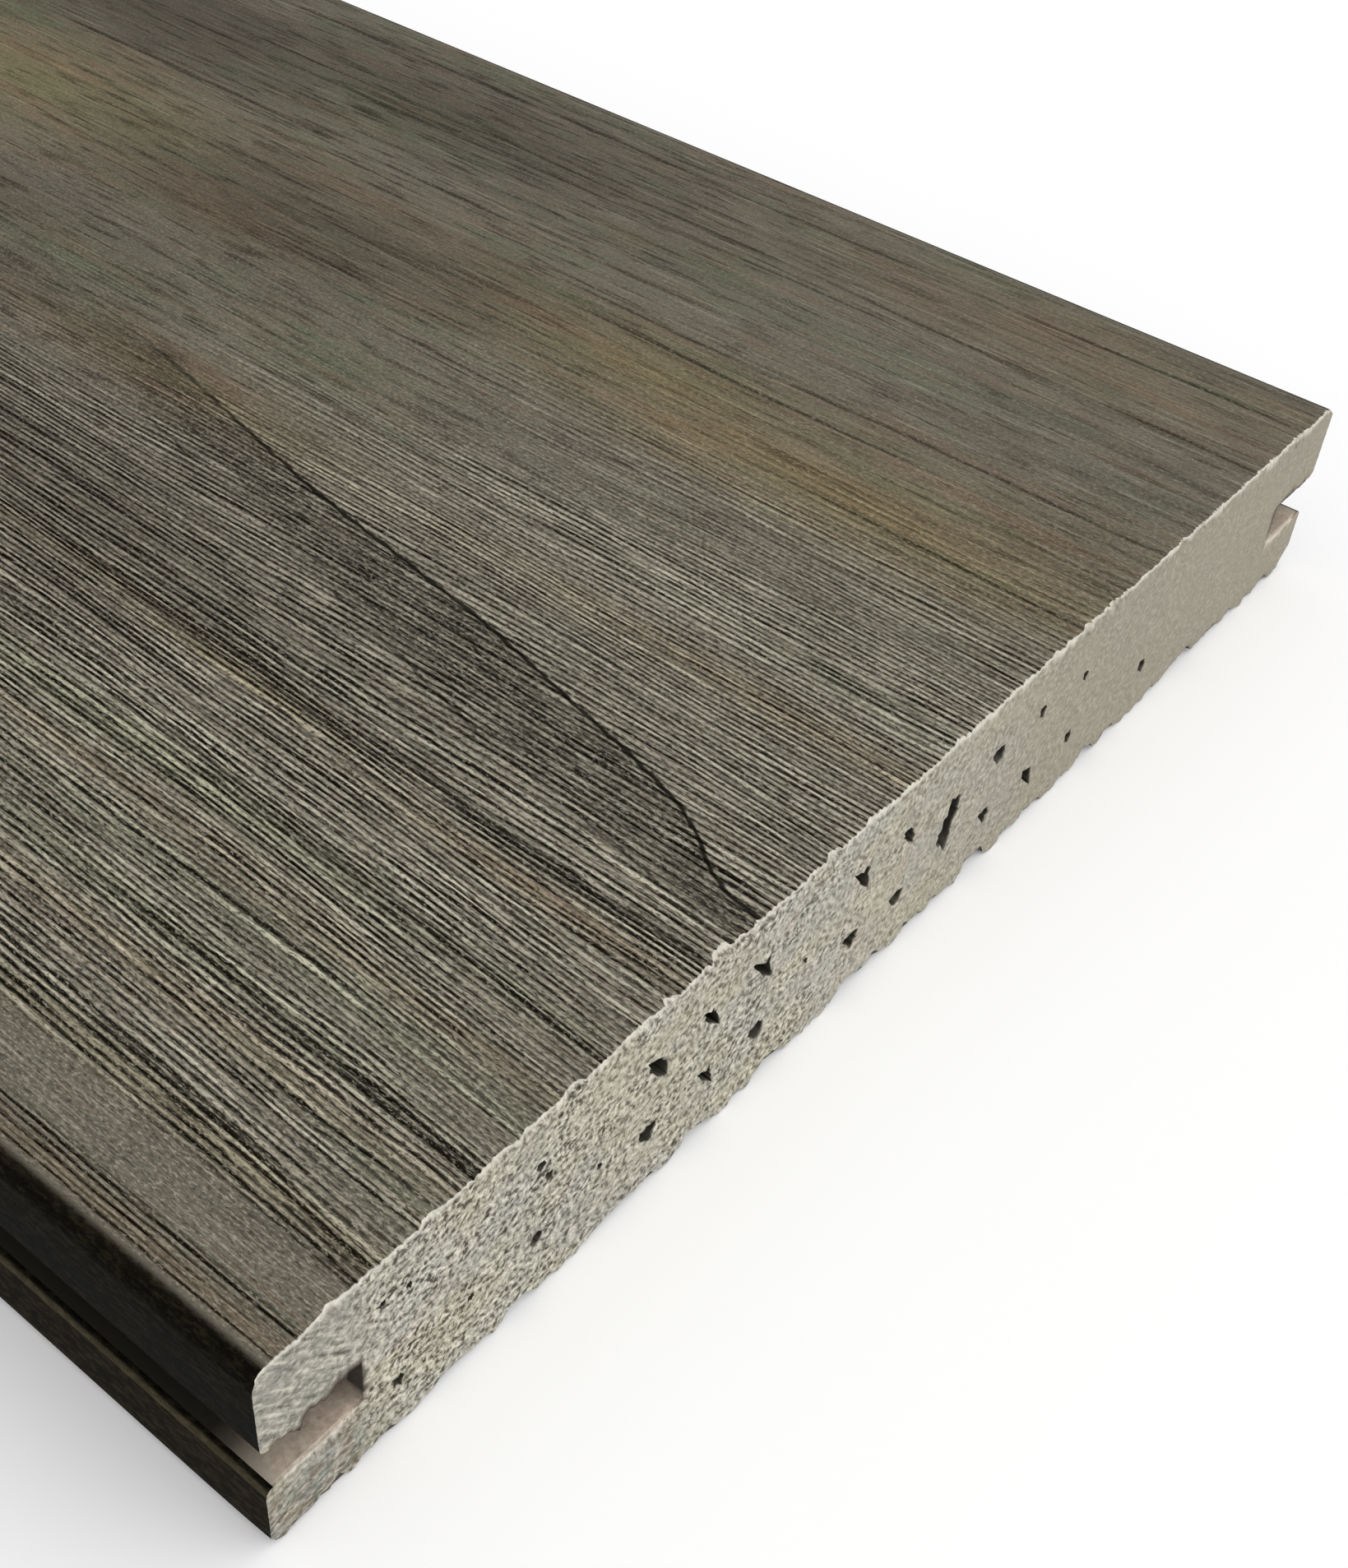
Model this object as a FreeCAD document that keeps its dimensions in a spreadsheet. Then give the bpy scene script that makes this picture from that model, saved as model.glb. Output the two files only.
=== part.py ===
import FreeCAD, Part
import os
import Sketcher

# A decking board: one extruded plank with a clip groove along each side and round flutes underneath.
# Frame: X along the board, Y across it, Z up; the origin is at the middle of the underside.

# Driving sizes, in millimetres
SIZES = [
    ("board_length", 2438.0),
    ("board_width", 184.0),
    ("board_thickness", 25.0),
    ("top_edge_radius", 2.0),
    ("bottom_edge_radius", 1.5),
    ("lower_lip_thickness", 9.0),
    ("groove_height", 5.5),
    ("groove_depth", 10.5),
    ("groove_mouth_radius", 0.8),
    ("flute_radius", 3.0),
    ("flute_depth", 1.3),
    ("flute_pitch", 25.0),
    ("flute_edge_land", 17.0),
]

# The most of a lip's thickness that one rounding may take, so that its two roundings never meet
ROUNDING_SHARE = 0.45
UPPER_LIP = "(sizes.board_thickness - sizes.lower_lip_thickness - sizes.groove_height)"
LOWER_LIP = "sizes.lower_lip_thickness"

# Flutes lie in pairs either side of the middle, as many as leave the plain land next to each long side
FLUTES_EACH_SIDE = ("floor((sizes.board_width / 2 - sizes.flute_edge_land - sizes.flute_radius)"
                    " / sizes.flute_pitch + 0.5)")

# Two edges closer than this, in millimetres, are the same edge
SAME_PLACE = 0.001


def make_sheet(doc):
    """The spreadsheet that holds the driving sizes, one named cell each."""
    sheet = doc.addObject("Spreadsheet::Sheet", "sizes")
    for row, (name, value) in enumerate(SIZES, start=1):
        sheet.set(f"A{row}", name)
        sheet.set(f"B{row}", str(value))
        sheet.setAlias(f"B{row}", name)
    doc.recompute()
    return sheet


def origin_feature(body, role):
    """One of the body's own origin planes or axes."""
    return next(feature for feature in body.Origin.OriginFeatures if feature.Role == role)


def cross_section_sketch(body, name):
    """A sketch on the board's cross-section: sketch x is Y, sketch y is Z."""
    sketch = body.newObject("Sketcher::SketchObject", name)
    sketch.AttachmentSupport = (origin_feature(body, "YZ_Plane"), "")
    sketch.MapMode = "FlatFace"
    return sketch


def bind(sketch, constraint, name, expression):
    """Add a dimension to the sketch and tie it to the sheet."""
    index = sketch.addConstraint(constraint)
    sketch.renameConstraint(index, name)
    sketch.setExpression(f"Constraints.{name}", expression)


def add_rectangle(sketch, low, high):
    """A closed rectangle; its lines are bottom, right, top and left, in that order."""
    corners = [
        FreeCAD.Vector(low[0], low[1], 0),
        FreeCAD.Vector(high[0], low[1], 0),
        FreeCAD.Vector(high[0], high[1], 0),
        FreeCAD.Vector(low[0], high[1], 0),
    ]
    lines = []
    for start, end in zip(corners, corners[1:] + corners[:1]):
        lines.append(sketch.addGeometry(Part.LineSegment(start, end), False))
    for line, following in zip(lines, lines[1:] + lines[:1]):
        sketch.addConstraint(Sketcher.Constraint("Coincident", line, 2, following, 1))
    bottom, right, top, left = lines
    for line in (bottom, top):
        sketch.addConstraint(Sketcher.Constraint("Horizontal", line))
    for line in (right, left):
        sketch.addConstraint(Sketcher.Constraint("Vertical", line))
    return lines


def cut_through(body, sketch, name):
    """A cut of the sketch along the whole board."""
    pocket = body.newObject("PartDesign::Pocket", name)
    pocket.Profile = sketch
    pocket.Type = "ThroughAll"
    pocket.SideType = "Symmetric"
    return pocket


def pad_board(body, sheet):
    """The plain plank, before anything is cut from it."""
    sketch = cross_section_sketch(body, "plank_section")
    half_width = sheet.board_width / 2
    lines = add_rectangle(sketch, (-half_width, 0), (half_width, sheet.board_thickness))
    bottom, right = lines[0], lines[1]
    sketch.addConstraint(Sketcher.Constraint("PointOnObject", bottom, 1, -1))
    bind(sketch, Sketcher.Constraint("DistanceX", -1, 1, bottom, 2, half_width),
         "half_width", "sizes.board_width / 2")
    bind(sketch, Sketcher.Constraint("DistanceX", bottom, 1, bottom, 2, sheet.board_width),
         "width", "sizes.board_width")
    bind(sketch, Sketcher.Constraint("DistanceY", right, 1, right, 2, sheet.board_thickness),
         "thickness", "sizes.board_thickness")
    pad = body.newObject("PartDesign::Pad", "plank")
    pad.Profile = sketch
    pad.SideType = "Symmetric"
    pad.setExpression("Length", "sizes.board_length")


def cut_grooves(doc, body, sheet):
    """The clip groove along one long side, and its mirror image along the other."""
    sketch = cross_section_sketch(body, "groove_section")
    side = sheet.board_width / 2
    low = sheet.lower_lip_thickness
    lines = add_rectangle(sketch, (side - sheet.groove_depth, low), (side, low + sheet.groove_height))
    bottom, right = lines[0], lines[1]
    bind(sketch, Sketcher.Constraint("DistanceX", -1, 1, bottom, 2, side),
         "side", "sizes.board_width / 2")
    bind(sketch, Sketcher.Constraint("DistanceY", -1, 1, bottom, 2, low),
         "floor", "sizes.lower_lip_thickness")
    bind(sketch, Sketcher.Constraint("DistanceX", bottom, 1, bottom, 2, sheet.groove_depth),
         "depth", "sizes.groove_depth")
    bind(sketch, Sketcher.Constraint("DistanceY", right, 1, right, 2, sheet.groove_height),
         "height", "sizes.groove_height")
    groove = cut_through(body, sketch, "clip_groove")
    doc.recompute()
    mirror = body.newObject("PartDesign::Mirrored", "opposite_groove")
    mirror.Originals = [groove]
    mirror.MirrorPlane = (origin_feature(body, "XZ_Plane"), [""])
    body.Tip = mirror
    doc.recompute()


def cut_flutes(doc, body, sheet):
    """Round flutes along the underside: the first near one long side, the rest in a row."""
    sketch = cross_section_sketch(body, "flute_section")
    centre = FreeCAD.Vector(-sheet.flute_pitch / 2, sheet.flute_depth - sheet.flute_radius, 0)
    circle = sketch.addGeometry(Part.Circle(centre, FreeCAD.Vector(0, 0, 1), sheet.flute_radius), False)
    bind(sketch, Sketcher.Constraint("Radius", circle, sheet.flute_radius),
         "radius", "sizes.flute_radius")
    bind(sketch, Sketcher.Constraint("DistanceX", circle, 3, -1, 1, -centre.x),
         "from_middle", f"sizes.flute_pitch * ({FLUTES_EACH_SIDE} - 0.5)")
    bind(sketch, Sketcher.Constraint("DistanceY", circle, 3, -1, 1, -centre.y),
         "below_underside", "sizes.flute_radius - sizes.flute_depth")
    flute = cut_through(body, sketch, "flute")
    doc.recompute()
    row = body.newObject("PartDesign::LinearPattern", "flute_row")
    row.Originals = [flute]
    row.Direction = (origin_feature(body, "Y_Axis"), [""])
    row.setExpression("Length", f"sizes.flute_pitch * (2 * {FLUTES_EACH_SIDE} - 1)")
    row.setExpression("Occurrences", f"2 * {FLUTES_EACH_SIDE}")
    body.Tip = row


def long_edges(shape, from_middle, height):
    """Names of the two edges that run along the board at this height, as far from its middle on each side."""
    names = []
    for number, edge in enumerate(shape.Edges, start=1):
        runs_along = abs(edge.Vertexes[0].X - edge.Vertexes[-1].X) > SAME_PLACE
        on_side = all(abs(abs(vertex.Y) - from_middle) < SAME_PLACE for vertex in edge.Vertexes)
        at_height = all(abs(vertex.Z - height) < SAME_PLACE for vertex in edge.Vertexes)
        if runs_along and on_side and at_height:
            names.append(f"Edge{number}")
    return names


def round_edges(doc, body, name, places, radius):
    """Round the long edges at the given distances from the middle and heights, on both sides of the board."""
    doc.recompute()
    base = body.Tip
    edges = []
    for from_middle, height in places:
        edges += long_edges(base.Shape, from_middle, height)
    if len(edges) != 2 * len(places):
        raise RuntimeError(f"{name} found {len(edges)} edges")
    fillet = body.newObject("PartDesign::Fillet", name)
    fillet.Base = (base, edges)
    fillet.setExpression("Radius", radius)
    body.Tip = fillet


def make_board(doc, sheet):
    """The whole board, one solid."""
    body = doc.addObject("PartDesign::Body", "board_body")
    body.Label = "deck_board"
    pad_board(body, sheet)
    doc.recompute()
    plank_volume = body.Shape.Volume

    cut_grooves(doc, body, sheet)
    grooved_volume = body.Shape.Volume
    groove_volume = 2 * sheet.groove_depth * sheet.groove_height * sheet.board_length
    if abs(plank_volume - grooved_volume - groove_volume) > SAME_PLACE * plank_volume:
        raise RuntimeError("the clip grooves did not cut as they should")

    cut_flutes(doc, body, sheet)
    doc.recompute()
    if not body.Shape.Volume < grooved_volume:
        raise RuntimeError("the flutes cut nothing")

    side = sheet.board_width / 2
    groove_floor = sheet.lower_lip_thickness
    groove_ceiling = groove_floor + sheet.groove_height
    thinner_lip = f"min({UPPER_LIP}; {LOWER_LIP})"
    round_edges(doc, body, "top_rounding", [(side, sheet.board_thickness)],
                f"min(sizes.top_edge_radius; {ROUNDING_SHARE} * {UPPER_LIP})")
    round_edges(doc, body, "groove_mouth_rounding", [(side, groove_floor), (side, groove_ceiling)],
                f"min(sizes.groove_mouth_radius; {ROUNDING_SHARE} * {thinner_lip})")
    round_edges(doc, body, "bottom_rounding", [(side, 0)],
                f"min(sizes.bottom_edge_radius; {ROUNDING_SHARE} * {LOWER_LIP})")
    doc.recompute()
    return body


def check_document(doc, bodies):
    """Stop if any feature failed or any piece is not one sound solid."""
    for item in doc.Objects:
        if "Invalid" in item.State or "Error" in item.State:
            raise RuntimeError(f"{item.Name} failed: {item.State}")
    for body in bodies:
        if body.Shape.isNull() or not body.Shape.isValid():
            raise RuntimeError(f"{body.Label} has no valid shape")
        if len(body.Shape.Solids) != 1:
            raise RuntimeError(f"{body.Label} is not one solid")


def main():
    doc = FreeCAD.newDocument("decking_board")
    sheet = make_sheet(doc)
    bodies = [make_board(doc, sheet)]
    check_document(doc, bodies)
    os.makedirs("parts", exist_ok=True)
    for body in bodies:
        body.Shape.exportStep(f"parts/{body.Label}.step")
        box = body.Shape.BoundBox
        print(f"{body.Label}: {box.XLength:.2f} x {box.YLength:.2f} x {box.ZLength:.2f} mm,"
              f" {body.Shape.Volume:.0f} mm3")


main()
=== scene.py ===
"""A decking board: a wood-grained plastic cap over a pale foamed core, lying on a pale studio floor."""

import math

import bpy
import numpy as np
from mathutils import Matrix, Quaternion, Vector
from mathutils.geometry import delaunay_2d_cdt
from mathutils.kdtree import KDTree


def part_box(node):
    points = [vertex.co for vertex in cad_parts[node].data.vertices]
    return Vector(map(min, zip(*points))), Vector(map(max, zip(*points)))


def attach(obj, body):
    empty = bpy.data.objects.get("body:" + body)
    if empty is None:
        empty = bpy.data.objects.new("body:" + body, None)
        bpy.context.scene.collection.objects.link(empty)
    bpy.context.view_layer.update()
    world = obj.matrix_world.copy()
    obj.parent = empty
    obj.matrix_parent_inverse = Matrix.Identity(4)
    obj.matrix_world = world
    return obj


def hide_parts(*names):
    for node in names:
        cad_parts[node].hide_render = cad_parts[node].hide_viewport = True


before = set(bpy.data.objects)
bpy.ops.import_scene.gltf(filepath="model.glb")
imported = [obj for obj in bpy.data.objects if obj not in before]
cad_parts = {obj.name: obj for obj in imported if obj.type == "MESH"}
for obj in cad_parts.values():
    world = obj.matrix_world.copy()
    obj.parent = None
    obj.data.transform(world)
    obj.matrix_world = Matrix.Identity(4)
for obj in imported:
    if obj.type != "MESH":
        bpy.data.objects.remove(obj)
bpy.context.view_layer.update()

# Sizes, in millimetres. On the bench x is 0 at the cut end that faces the camera and runs back to
# -LENGTH, w is 0 at the near long side and z is 0 under the board.
MM = 0.001
board_low, board_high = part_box("deck_board")
LENGTH = (board_high.x - board_low.x) / MM
WIDTH = (board_high.y - board_low.y) / MM
THICKNESS = (board_high.z - board_low.z) / MM
TOP_RADIUS = 2.0
BOTTOM_RADIUS = 1.5
LOWER_LIP = 9.0
GROOVE_HEIGHT = 5.5
GROOVE_DEPTH = 10.5
GROOVE_CEILING = LOWER_LIP + GROOVE_HEIGHT
MOUTH_RADIUS = 0.8
FLUTE_RADIUS = 3.0
FLUTE_DEPTH = 1.3
FLUTE_PITCH = 25.0
FLUTES_EACH_SIDE = 3

# Embossed grain: the pitch of its lines and how deep they are pressed, across the board and along it
LINE_PLACES = (0.0, 5.0, 8.0, 106.0, 114.0, 130.0, 184.0)
LINE_PITCHES = (0.5, 0.5, 0.72, 0.76, 0.95, 1.3, 1.9)
FIRST_LINE = 1.2
PITCH_SPREAD = (0.75, 1.3)
PRESS_SPREAD = (0.7, 1.2)
PRESS_PLACES = (0.0, 4.2, 5.2, 9.2, 10.6, 36.0, 84.0, 106.0, 116.0, 132.0, 150.0, 184.0)
PRESS_DEPTHS = (0.95, 0.95, 0.28, 0.3, 1.1, 1.3, 1.25, 0.95, 0.62, 0.4, 0.26, 0.18)
SMOOTH_ALONG = (-2438.0, -2100.0, -1750.0, -1400.0, -1050.0, -700.0, -400.0, -190.0, -110.0, -60.0, 0.0)
SMOOTH_REACH = (30.0, 55.0, 25.0, 50.0, 32.0, 58.0, 45.0, 56.0, 42.0, 12.0, 0.0)
SMOOTH_FROM = (50.0, 85.0)
END_SHARE = 0.55
END_REACH = 24.0
END_PLACES = (40.0, 62.0)
STREAK_PLACES = (100.0, 130.0)
STREAK_DEPTHS = (1.1, 0.4)
VALLEY_DEPTH = 0.3
LEAST_DEPTH = 0.02
BANDS = ((120.0, 4.2, 0.18), (55.0, 1.6, 0.15))
BAND_EDGES = (0.62, 0.3)
PULSES = ((70.0, 260.0, 0.25), (14.0, 50.0, 0.25))
RIDGE_WEAR = 0.07
WEAR_RUN = 31.0
WEAR_TURN = 7.0
EDGE_EASE = 1.0
FOOT = 0.28
SHOULDER = 0.72

# How rough the moulded skin feels, across the board
TOOTH_PLACES = (0.0, 100.0, 130.0, 184.0)
TOOTH_SHARES = (1.0, 0.9, 0.55, 0.4)

# The grain leans away from the near side towards the back, most in the near half
LEAN_PLACES = (4.0, 13.0, 46.0, 62.0, 86.0, 184.0)
LEAN_SLOPES = (0.0, 0.042, 0.042, 0.026, 0.002, 0.0)
LEAN_REACH = 150.0
STEADY_EDGE = (1.0, 9.0)
SWAYS = ((0.55, 430.0, 70.0, 0.1), (0.30, 150.0, 37.0, 0.55), (0.14, 52.0, 15.0, 0.8))

# Dark streaks that follow the grain: place across the end, start, finish, half width and darkness
STREAKS = (
    (53.6, 20, -120, 1.5, 0.95), (56.4, -38, -110, 0.8, 0.9), (48.3, -58, -112, 0.8, 0.9),
    (43.7, -56, -110, 0.8, 0.9), (50, 20, -55, 1, 0.6), (39.8, 20, -90, 1.2, 0.7),
    (33.8, 20, -30, 0.8, 0.5), (23.4, 20, -75, 1.1, 0.85), (21.2, 20, -60, 0.9, 0.55),
    (16.9, -15, -70, 0.5, 0.7), (13.3, 5, -80, 0.7, 0.95), (12, 20, -60, 0.6, 0.8),
    (10.4, 20, -45, 0.5, 0.9), (11.2, -20, -110, 0.5, 0.85), (12.8, -45, -135, 0.5, 0.8),
    (14.6, -30, -120, 0.6, 0.8), (70.5, -100, -205, 0.7, 0.75), (66, -85, -190, 0.8, 0.8),
    (58.8, -105, -210, 0.8, 0.8), (52.2, -90, -195, 0.8, 0.8), (45.6, -95, -200, 0.9, 0.8),
    (38.4, -100, -200, 0.8, 0.75), (62.5, -70, -175, 0.9, 0.75), (57.6, -40, -120, 0.7, 0.7),
    (47.2, -25, -115, 0.7, 0.75), (44.4, -5, -60, 0.6, 0.65), (42.2, -50, -130, 0.8, 0.8),
    (36.2, -35, -110, 0.8, 0.85), (29.6, -10, -95, 0.6, 0.7), (26.4, -35, -105, 0.7, 0.75),
    (18.6, 5, -55, 0.5, 0.7), (4.7, 20, -95, 0.4, 0.7), (3.6, -5, -60, 0.3, 0.5),
    (2.4, 20, -90, 0.35, 0.55), (121, 20, -70, 0.7, 0.6), (118.8, -78, -150, 0.9, 0.9),
    (111, -138, -185, 0.9, 0.7), (97.5, -108, -155, 0.8, 0.8), (123.5, -130, -215, 0.8, 0.5),
    (112, -60, -125, 0.6, 0.5), (104, -95, -165, 0.7, 0.5), (118, 20, -60, 0.6, 0.6),
    (125, -10, -80, 0.6, 0.6), (130, 20, -60, 0.6, 0.6), (134, -20, -110, 0.6, 0.6),
    (138, 20, -120, 0.7, 0.6), (144, -95, -140, 0.8, 0.8), (145.5, -60, -260, 0.9, 0.6),
    (159, -40, -240, 0.8, 0.5), (162, 20, -200, 0.9, 0.55), (165, -40, -300, 0.6, 0.5),
    (175, 20, -350, 0.7, 0.6),
)
STREAK_TAPER = (25.0, 45.0)

# The streaks of the rest of the board: how many, where they begin, and the ranges of their sizes
MORE_STREAKS = 150
STREAKS_BEYOND = -150.0
STREAK_MARGIN = 4.0
STREAK_WIDTHS = (0.5, 1.6)
STREAK_RUNS = (60.0, 260.0)
STREAK_DARKNESS = (0.3, 0.8)

# Patches of tint, soft along the grain: kind, x, w, half length, half width and strength
# The darkening patches listed here are painted shade, where the light falls off away from the end that
# shows
TINTS = (
    ("olive", -190, 128, 34, 13, 1), ("olive", -66, 127, 24, 8, 0.95),
    ("olive", -40, 122, 45, 7, 0.9), ("olive", -20, 12.5, 40, 1.5, 0.4),
    ("brown", -112, 132, 36, 8, 0.45), ("brown", -22, 129, 34, 12, 0.5),
    ("brown", -30, 171, 45, 10, 0.5), ("brown", -108, 85.5, 26, 4.5, 1),
    ("brown", -135, 118, 24, 6, 0.7), ("brown", -20, 86, 40, 2.2, 0.6),
    ("olive", -60, 52.8, 14, 0.8, 0.6), ("brown", -80, 54.5, 28, 1.2, 0.5),
    ("brown", -18, 50.3, 20, 1.4, 0.7), ("brown", -55, 35, 32, 1.2, 0.5),
    ("brown", -15, 33.5, 30, 1.2, 0.5), ("brown", -30, 21, 40, 1.6, 0.5),
    ("brown", -25, 3.1, 60, 1.2, 0.7), ("green", -98, 101, 14, 7, 0.55),
    ("green", -140, 97, 22, 5, 0.45), ("green", -145, 157, 18, 9, 0.5),
    ("green", -60, 39.6, 45, 2.2, 0.6), ("green", -30, 31, 50, 2.5, 0.3),
    ("green", -45, 25.5, 35, 1.8, 0.5), ("dusk", -190, 158, 50, 16, 0.9),
    ("dusk", -140, 174, 60, 8, 0.5), ("dusk", -170, 100, 45, 10, 0.5),
    ("dusk", -114, 61, 60, 16, 0.85), ("dusk", -140, 165, 55, 15, 0.7),
    ("dusk", -250, 158, 70, 22, 0.7), ("dusk", -330, 150, 80, 30, 0.6),
    ("dusk", -160, 88, 40, 9, 0.5), ("dusk", -132, 124, 36, 14, 0.65),
    ("dusk", -106, 126, 28, 10, 0.5),
)
TINT_KINDS = ("olive", "brown", "green", "dusk")

# The tints of the rest of the board: how many, where they begin, and the ranges of their sizes
MORE_TINTS = 160
TINTS_BEYOND = -380.0
TINT_RUNS = (30.0, 120.0)
TINT_WIDTHS = (1.5, 10.0)
TINT_STRENGTHS = (0.3, 0.9)

# Growth-ring arches: the two cracks of one as (x, w), then where each arch starts and how far it is moved
UPPER_CRACK = ((-210.0, 104.0), (-111.0, 88.0), (-80.0, 81.0), (-47.0, 76.0), (-21.0, 70.0),
               (-12.5, 67.3), (-7.0, 62.4), (0.0, 61.2))
LOWER_CRACK = ((-210.0, 99.0), (-111.0, 79.5), (-69.0, 70.5), (-35.0, 62.5), (-15.0, 59.5), (0.0, 56.8))
ARCHES = ((0.0, 0.0), (-640.0, 14.0), (-1210.0, -34.0), (-1820.0, 26.0))
ARCH_LENGTH = 210.0
ARCH_FADE = (-78.0, -150.0)
ARCH_EASE = 30.0
CRACK_ROUNDING = 2.5
CRACK_SAMPLES = 5
CRACK_DEPTH = 0.16
CRACK_WIDTH = 0.35

# Rows of mesh along the board, finest at the end that shows, and of points round its section
END_ROWS = (0.0, 0.35, 0.9)
FIRST_STEP = 2.0
STEP_GROWTH = 0.046
LONGEST_STEP = 52.0
LAST_STEP = 4.0
LAST_GROWTH = 0.2
LAST_GAP = 1.5
SIDE_HEIGHTS = (21.0, 18.6, 16.6)
LOW_SIDE_HEIGHTS = (6.4, 4.0)
TOP_POINTS = 7
MOUTH_POINTS = 4
GROOVE_POINTS = 8
WALL_POINTS = 5
FOOT_POINTS = 5
FLUTE_POINTS = 7
LAND_POINTS = 8

# The edge that the saw left: the cap torn back at the top, a burr under the upper lip, a broken bottom
EDGE_PITCH = 0.45
EDGE_JITTER = 0.05
SAME_HEIGHT = 0.02
TOP_RIM = (1.0, 0.4)
WHITE_RIM = (1.2, 0.6)
WHITE_LEDGE = 0.75
RIM_WAVE = 1.3
RIM_DIP = 0.1
RIM_LOSS = 0.5
RIM_TEETH = 0.5
RIM_TOOTH = 0.3
TEAR_REACH = 2.5
CHIP_FLOOR = 0.4
RIM_CHIPS = ((55.8, 1.8, 0.9), (36.0, 0.9, 0.35), (48.4, 1.0, 0.4), (73.0, 1.2, 0.3))
BURR_PITCH = 0.4
BURR_LOOSE = 0.2
BURR_PLACES = (0.8, 1.4, 1.8, 2.0, 2.9, 4.0, 4.3, 5.1, 5.4, 6.2, 6.4, 7.4, 7.7, 8.1, 8.9, 9.1, 10.2)
BURR_DROPS = (0.0, -0.3, -0.6, 0.0, 0.15, 1.3, 0.2, -0.6, -0.1, -0.2, 0.3, 0.2, -0.4, -0.5, 0.1, -0.5, -0.1)
BURR_STEP = 0.18
BURR_BACK = 9.0
FAR_BURR = 0.15
LEDGE_BREAK = 1.3
LEDGE_CRUMB = 0.3
LEDGE_DROP = 0.9
LEDGE_BACK = 10.0
BREAK_HEIGHTS = (3.6, 0.3)
BREAK_SLANT = 0.25
BREAK_REACH = 3.0
BREAK_END = 12.0
BREAK_PITCH = 1.9
BREAK_RISE = 1.0
CRUMB_PITCH = 0.7
CRUMB_RISE = 0.65

# The groove's painted shade: where it sets in from a sawn end, how uneven that is and how dark it is
GROOVE_SHADE_FROM = (1.0, 7.0)
GROOVE_SHADE_SWAY = 0.5
GROOVE_SHADE_TURN = 3.1
GROOVE_SHADE_DARK = 0.97
SHADED_DARK = 0.93
SHADE_RISE = 1.0
SLOT_SPECKLE = 0.22

# Foam on the sawn ends: how closely its points lie, how far they stand back and how speckled it is across
FOAM_PITCH = 0.78
FOAM_JITTER = 0.4
FOAM_ROOM = 0.4
CROWDED = (0.2, 0.7)
SMOOTH_SHARE = 0.35
FOAM_ROUGHNESS = 0.16
LEAST_ROUGH = 0.25
SPECKLE_PLACES = (0.0, 8.0, 16.0, 32.0, 46.0, 66.0, 86.0, 120.0, 184.0)
SPECKLE_SHARES = (0.6, 0.8, 0.97, 0.97, 0.84, 0.82, 0.52, 0.22, 0.12)

# Where the saw smeared the upper lip's end and left dirt on the lower one: across, then up
SMEARED_LIP = ((13.0, 8.0), (14.0, 16.0))
SMEARED_SHARE = 0.5
DIRTY_LIP = ((15.0, 7.0), (10.0, 6.5))
DIRT_MIDDLE = (6.0, 1.0)
DIRT_SIZE = (6.0, 2.5)
DIRT_SHARES = (0.75, 0.6)

# Outlines of the voids in the foam, in millimetres about their middle, anticlockwise
KITE = ((-0.95, 1.25), (-0.75, 0.3), (0.05, -0.65), (1.35, -1.75), (0.85, 0.15), (0.25, 1.15))
ARROW = ((-1.45, 1.55), (-0.15, -0.45), (1.35, -1.85), (0.95, 0.0), (0.75, 1.15), (0.0, 0.8))
DROP = ((-1.05, 0.45), (-0.55, -0.35), (0.25, -1.15), (0.75, -0.35), (0.85, 0.55), (-0.1, 0.65))
SLIT = ((-0.3, 3.5), (-0.95, 1.3), (-1.2, 0.2), (-1.75, -1.2), (-0.1, -3.6), (0.75, -2.2), (0.6, -0.4),
        (1.6, 1.2), (1.4, 2.9))
NICK = ((-0.45, 0.5), (-0.5, -0.3), (0.2, -0.7), (0.5, 0.1), (0.2, 0.55))

# The voids on the end that shows: w, z, outline, size and depth
VOIDS = (
    (47.1, 16.9, KITE, 1.45, 4.5), (54.8, 17.1, KITE, 1.1, 4.0), (62.8, 17.1, ARROW, 1.25, 4.5),
    (79.0, 17.0, ARROW, 1.25, 4.5), (87.2, 17.1, KITE, 1.1, 4.0), (95.9, 12.6, SLIT, 1.1, 5.0),
    (104.7, 16.8, DROP, 1.5, 4.0), (113.8, 17.2, NICK, 1.4, 2.0), (123.3, 16.6, NICK, 1.2, 1.5),
    (46.4, 8.6, DROP, 1.45, 4.0), (54.9, 8.7, ARROW, 1.0, 3.5), (62.9, 8.5, DROP, 1.45, 4.5),
    (78.8, 8.7, DROP, 1.45, 4.5), (87.1, 8.4, DROP, 1.4, 4.5), (104.3, 8.3, DROP, 1.2, 3.0),
    (113.4, 7.8, KITE, 1.2, 3.5), (122.8, 7.8, NICK, 1.6, 2.0), (140.4, 8.0, NICK, 1.7, 2.0),
    (31.3, 8.5, NICK, 1.4, 2.0), (31.6, 18.5, NICK, 1.1, 1.2), (32.6, 16.2, NICK, 1.0, 1.0),
    (14.4, 7.0, NICK, 1.2, 0.9), (16.0, 18.9, NICK, 0.7, 0.7), (13.1, 19.7, NICK, 0.7, 0.7),
    (23.0, 9.0, NICK, 0.8, 0.9), (39.6, 10.4, NICK, 0.7, 0.9), (70.4, 12.3, NICK, 0.7, 0.9),
)

# The voids on the other end: the smallest that it has too, and how far they are moved and resized
LEAST_FAR_VOID = 0.85
FAR_VOID_SHIFT = 0.8
FAR_VOID_SIZES = (0.7, 1.1)

# Inside a void: how far down each ring is as a share of its depth, how narrow it is and how dark its
# painted shade is
VOID_RINGS = ((0.03, 0.95, 0.9), (0.5, 0.8, 1.0), (1.0, 0.5, 1.0))
VOID_BOTTOM = 1.15
VOID_RAGGED = 0.2
VOID_UNEVEN = (0.8, 1.1)
# Painted light: how much less dark the lower walls of a void are made, as if lit from above, and from where
VOID_LIT = 0.3
VOID_LIT_FROM = (0.1, 0.45)

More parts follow.
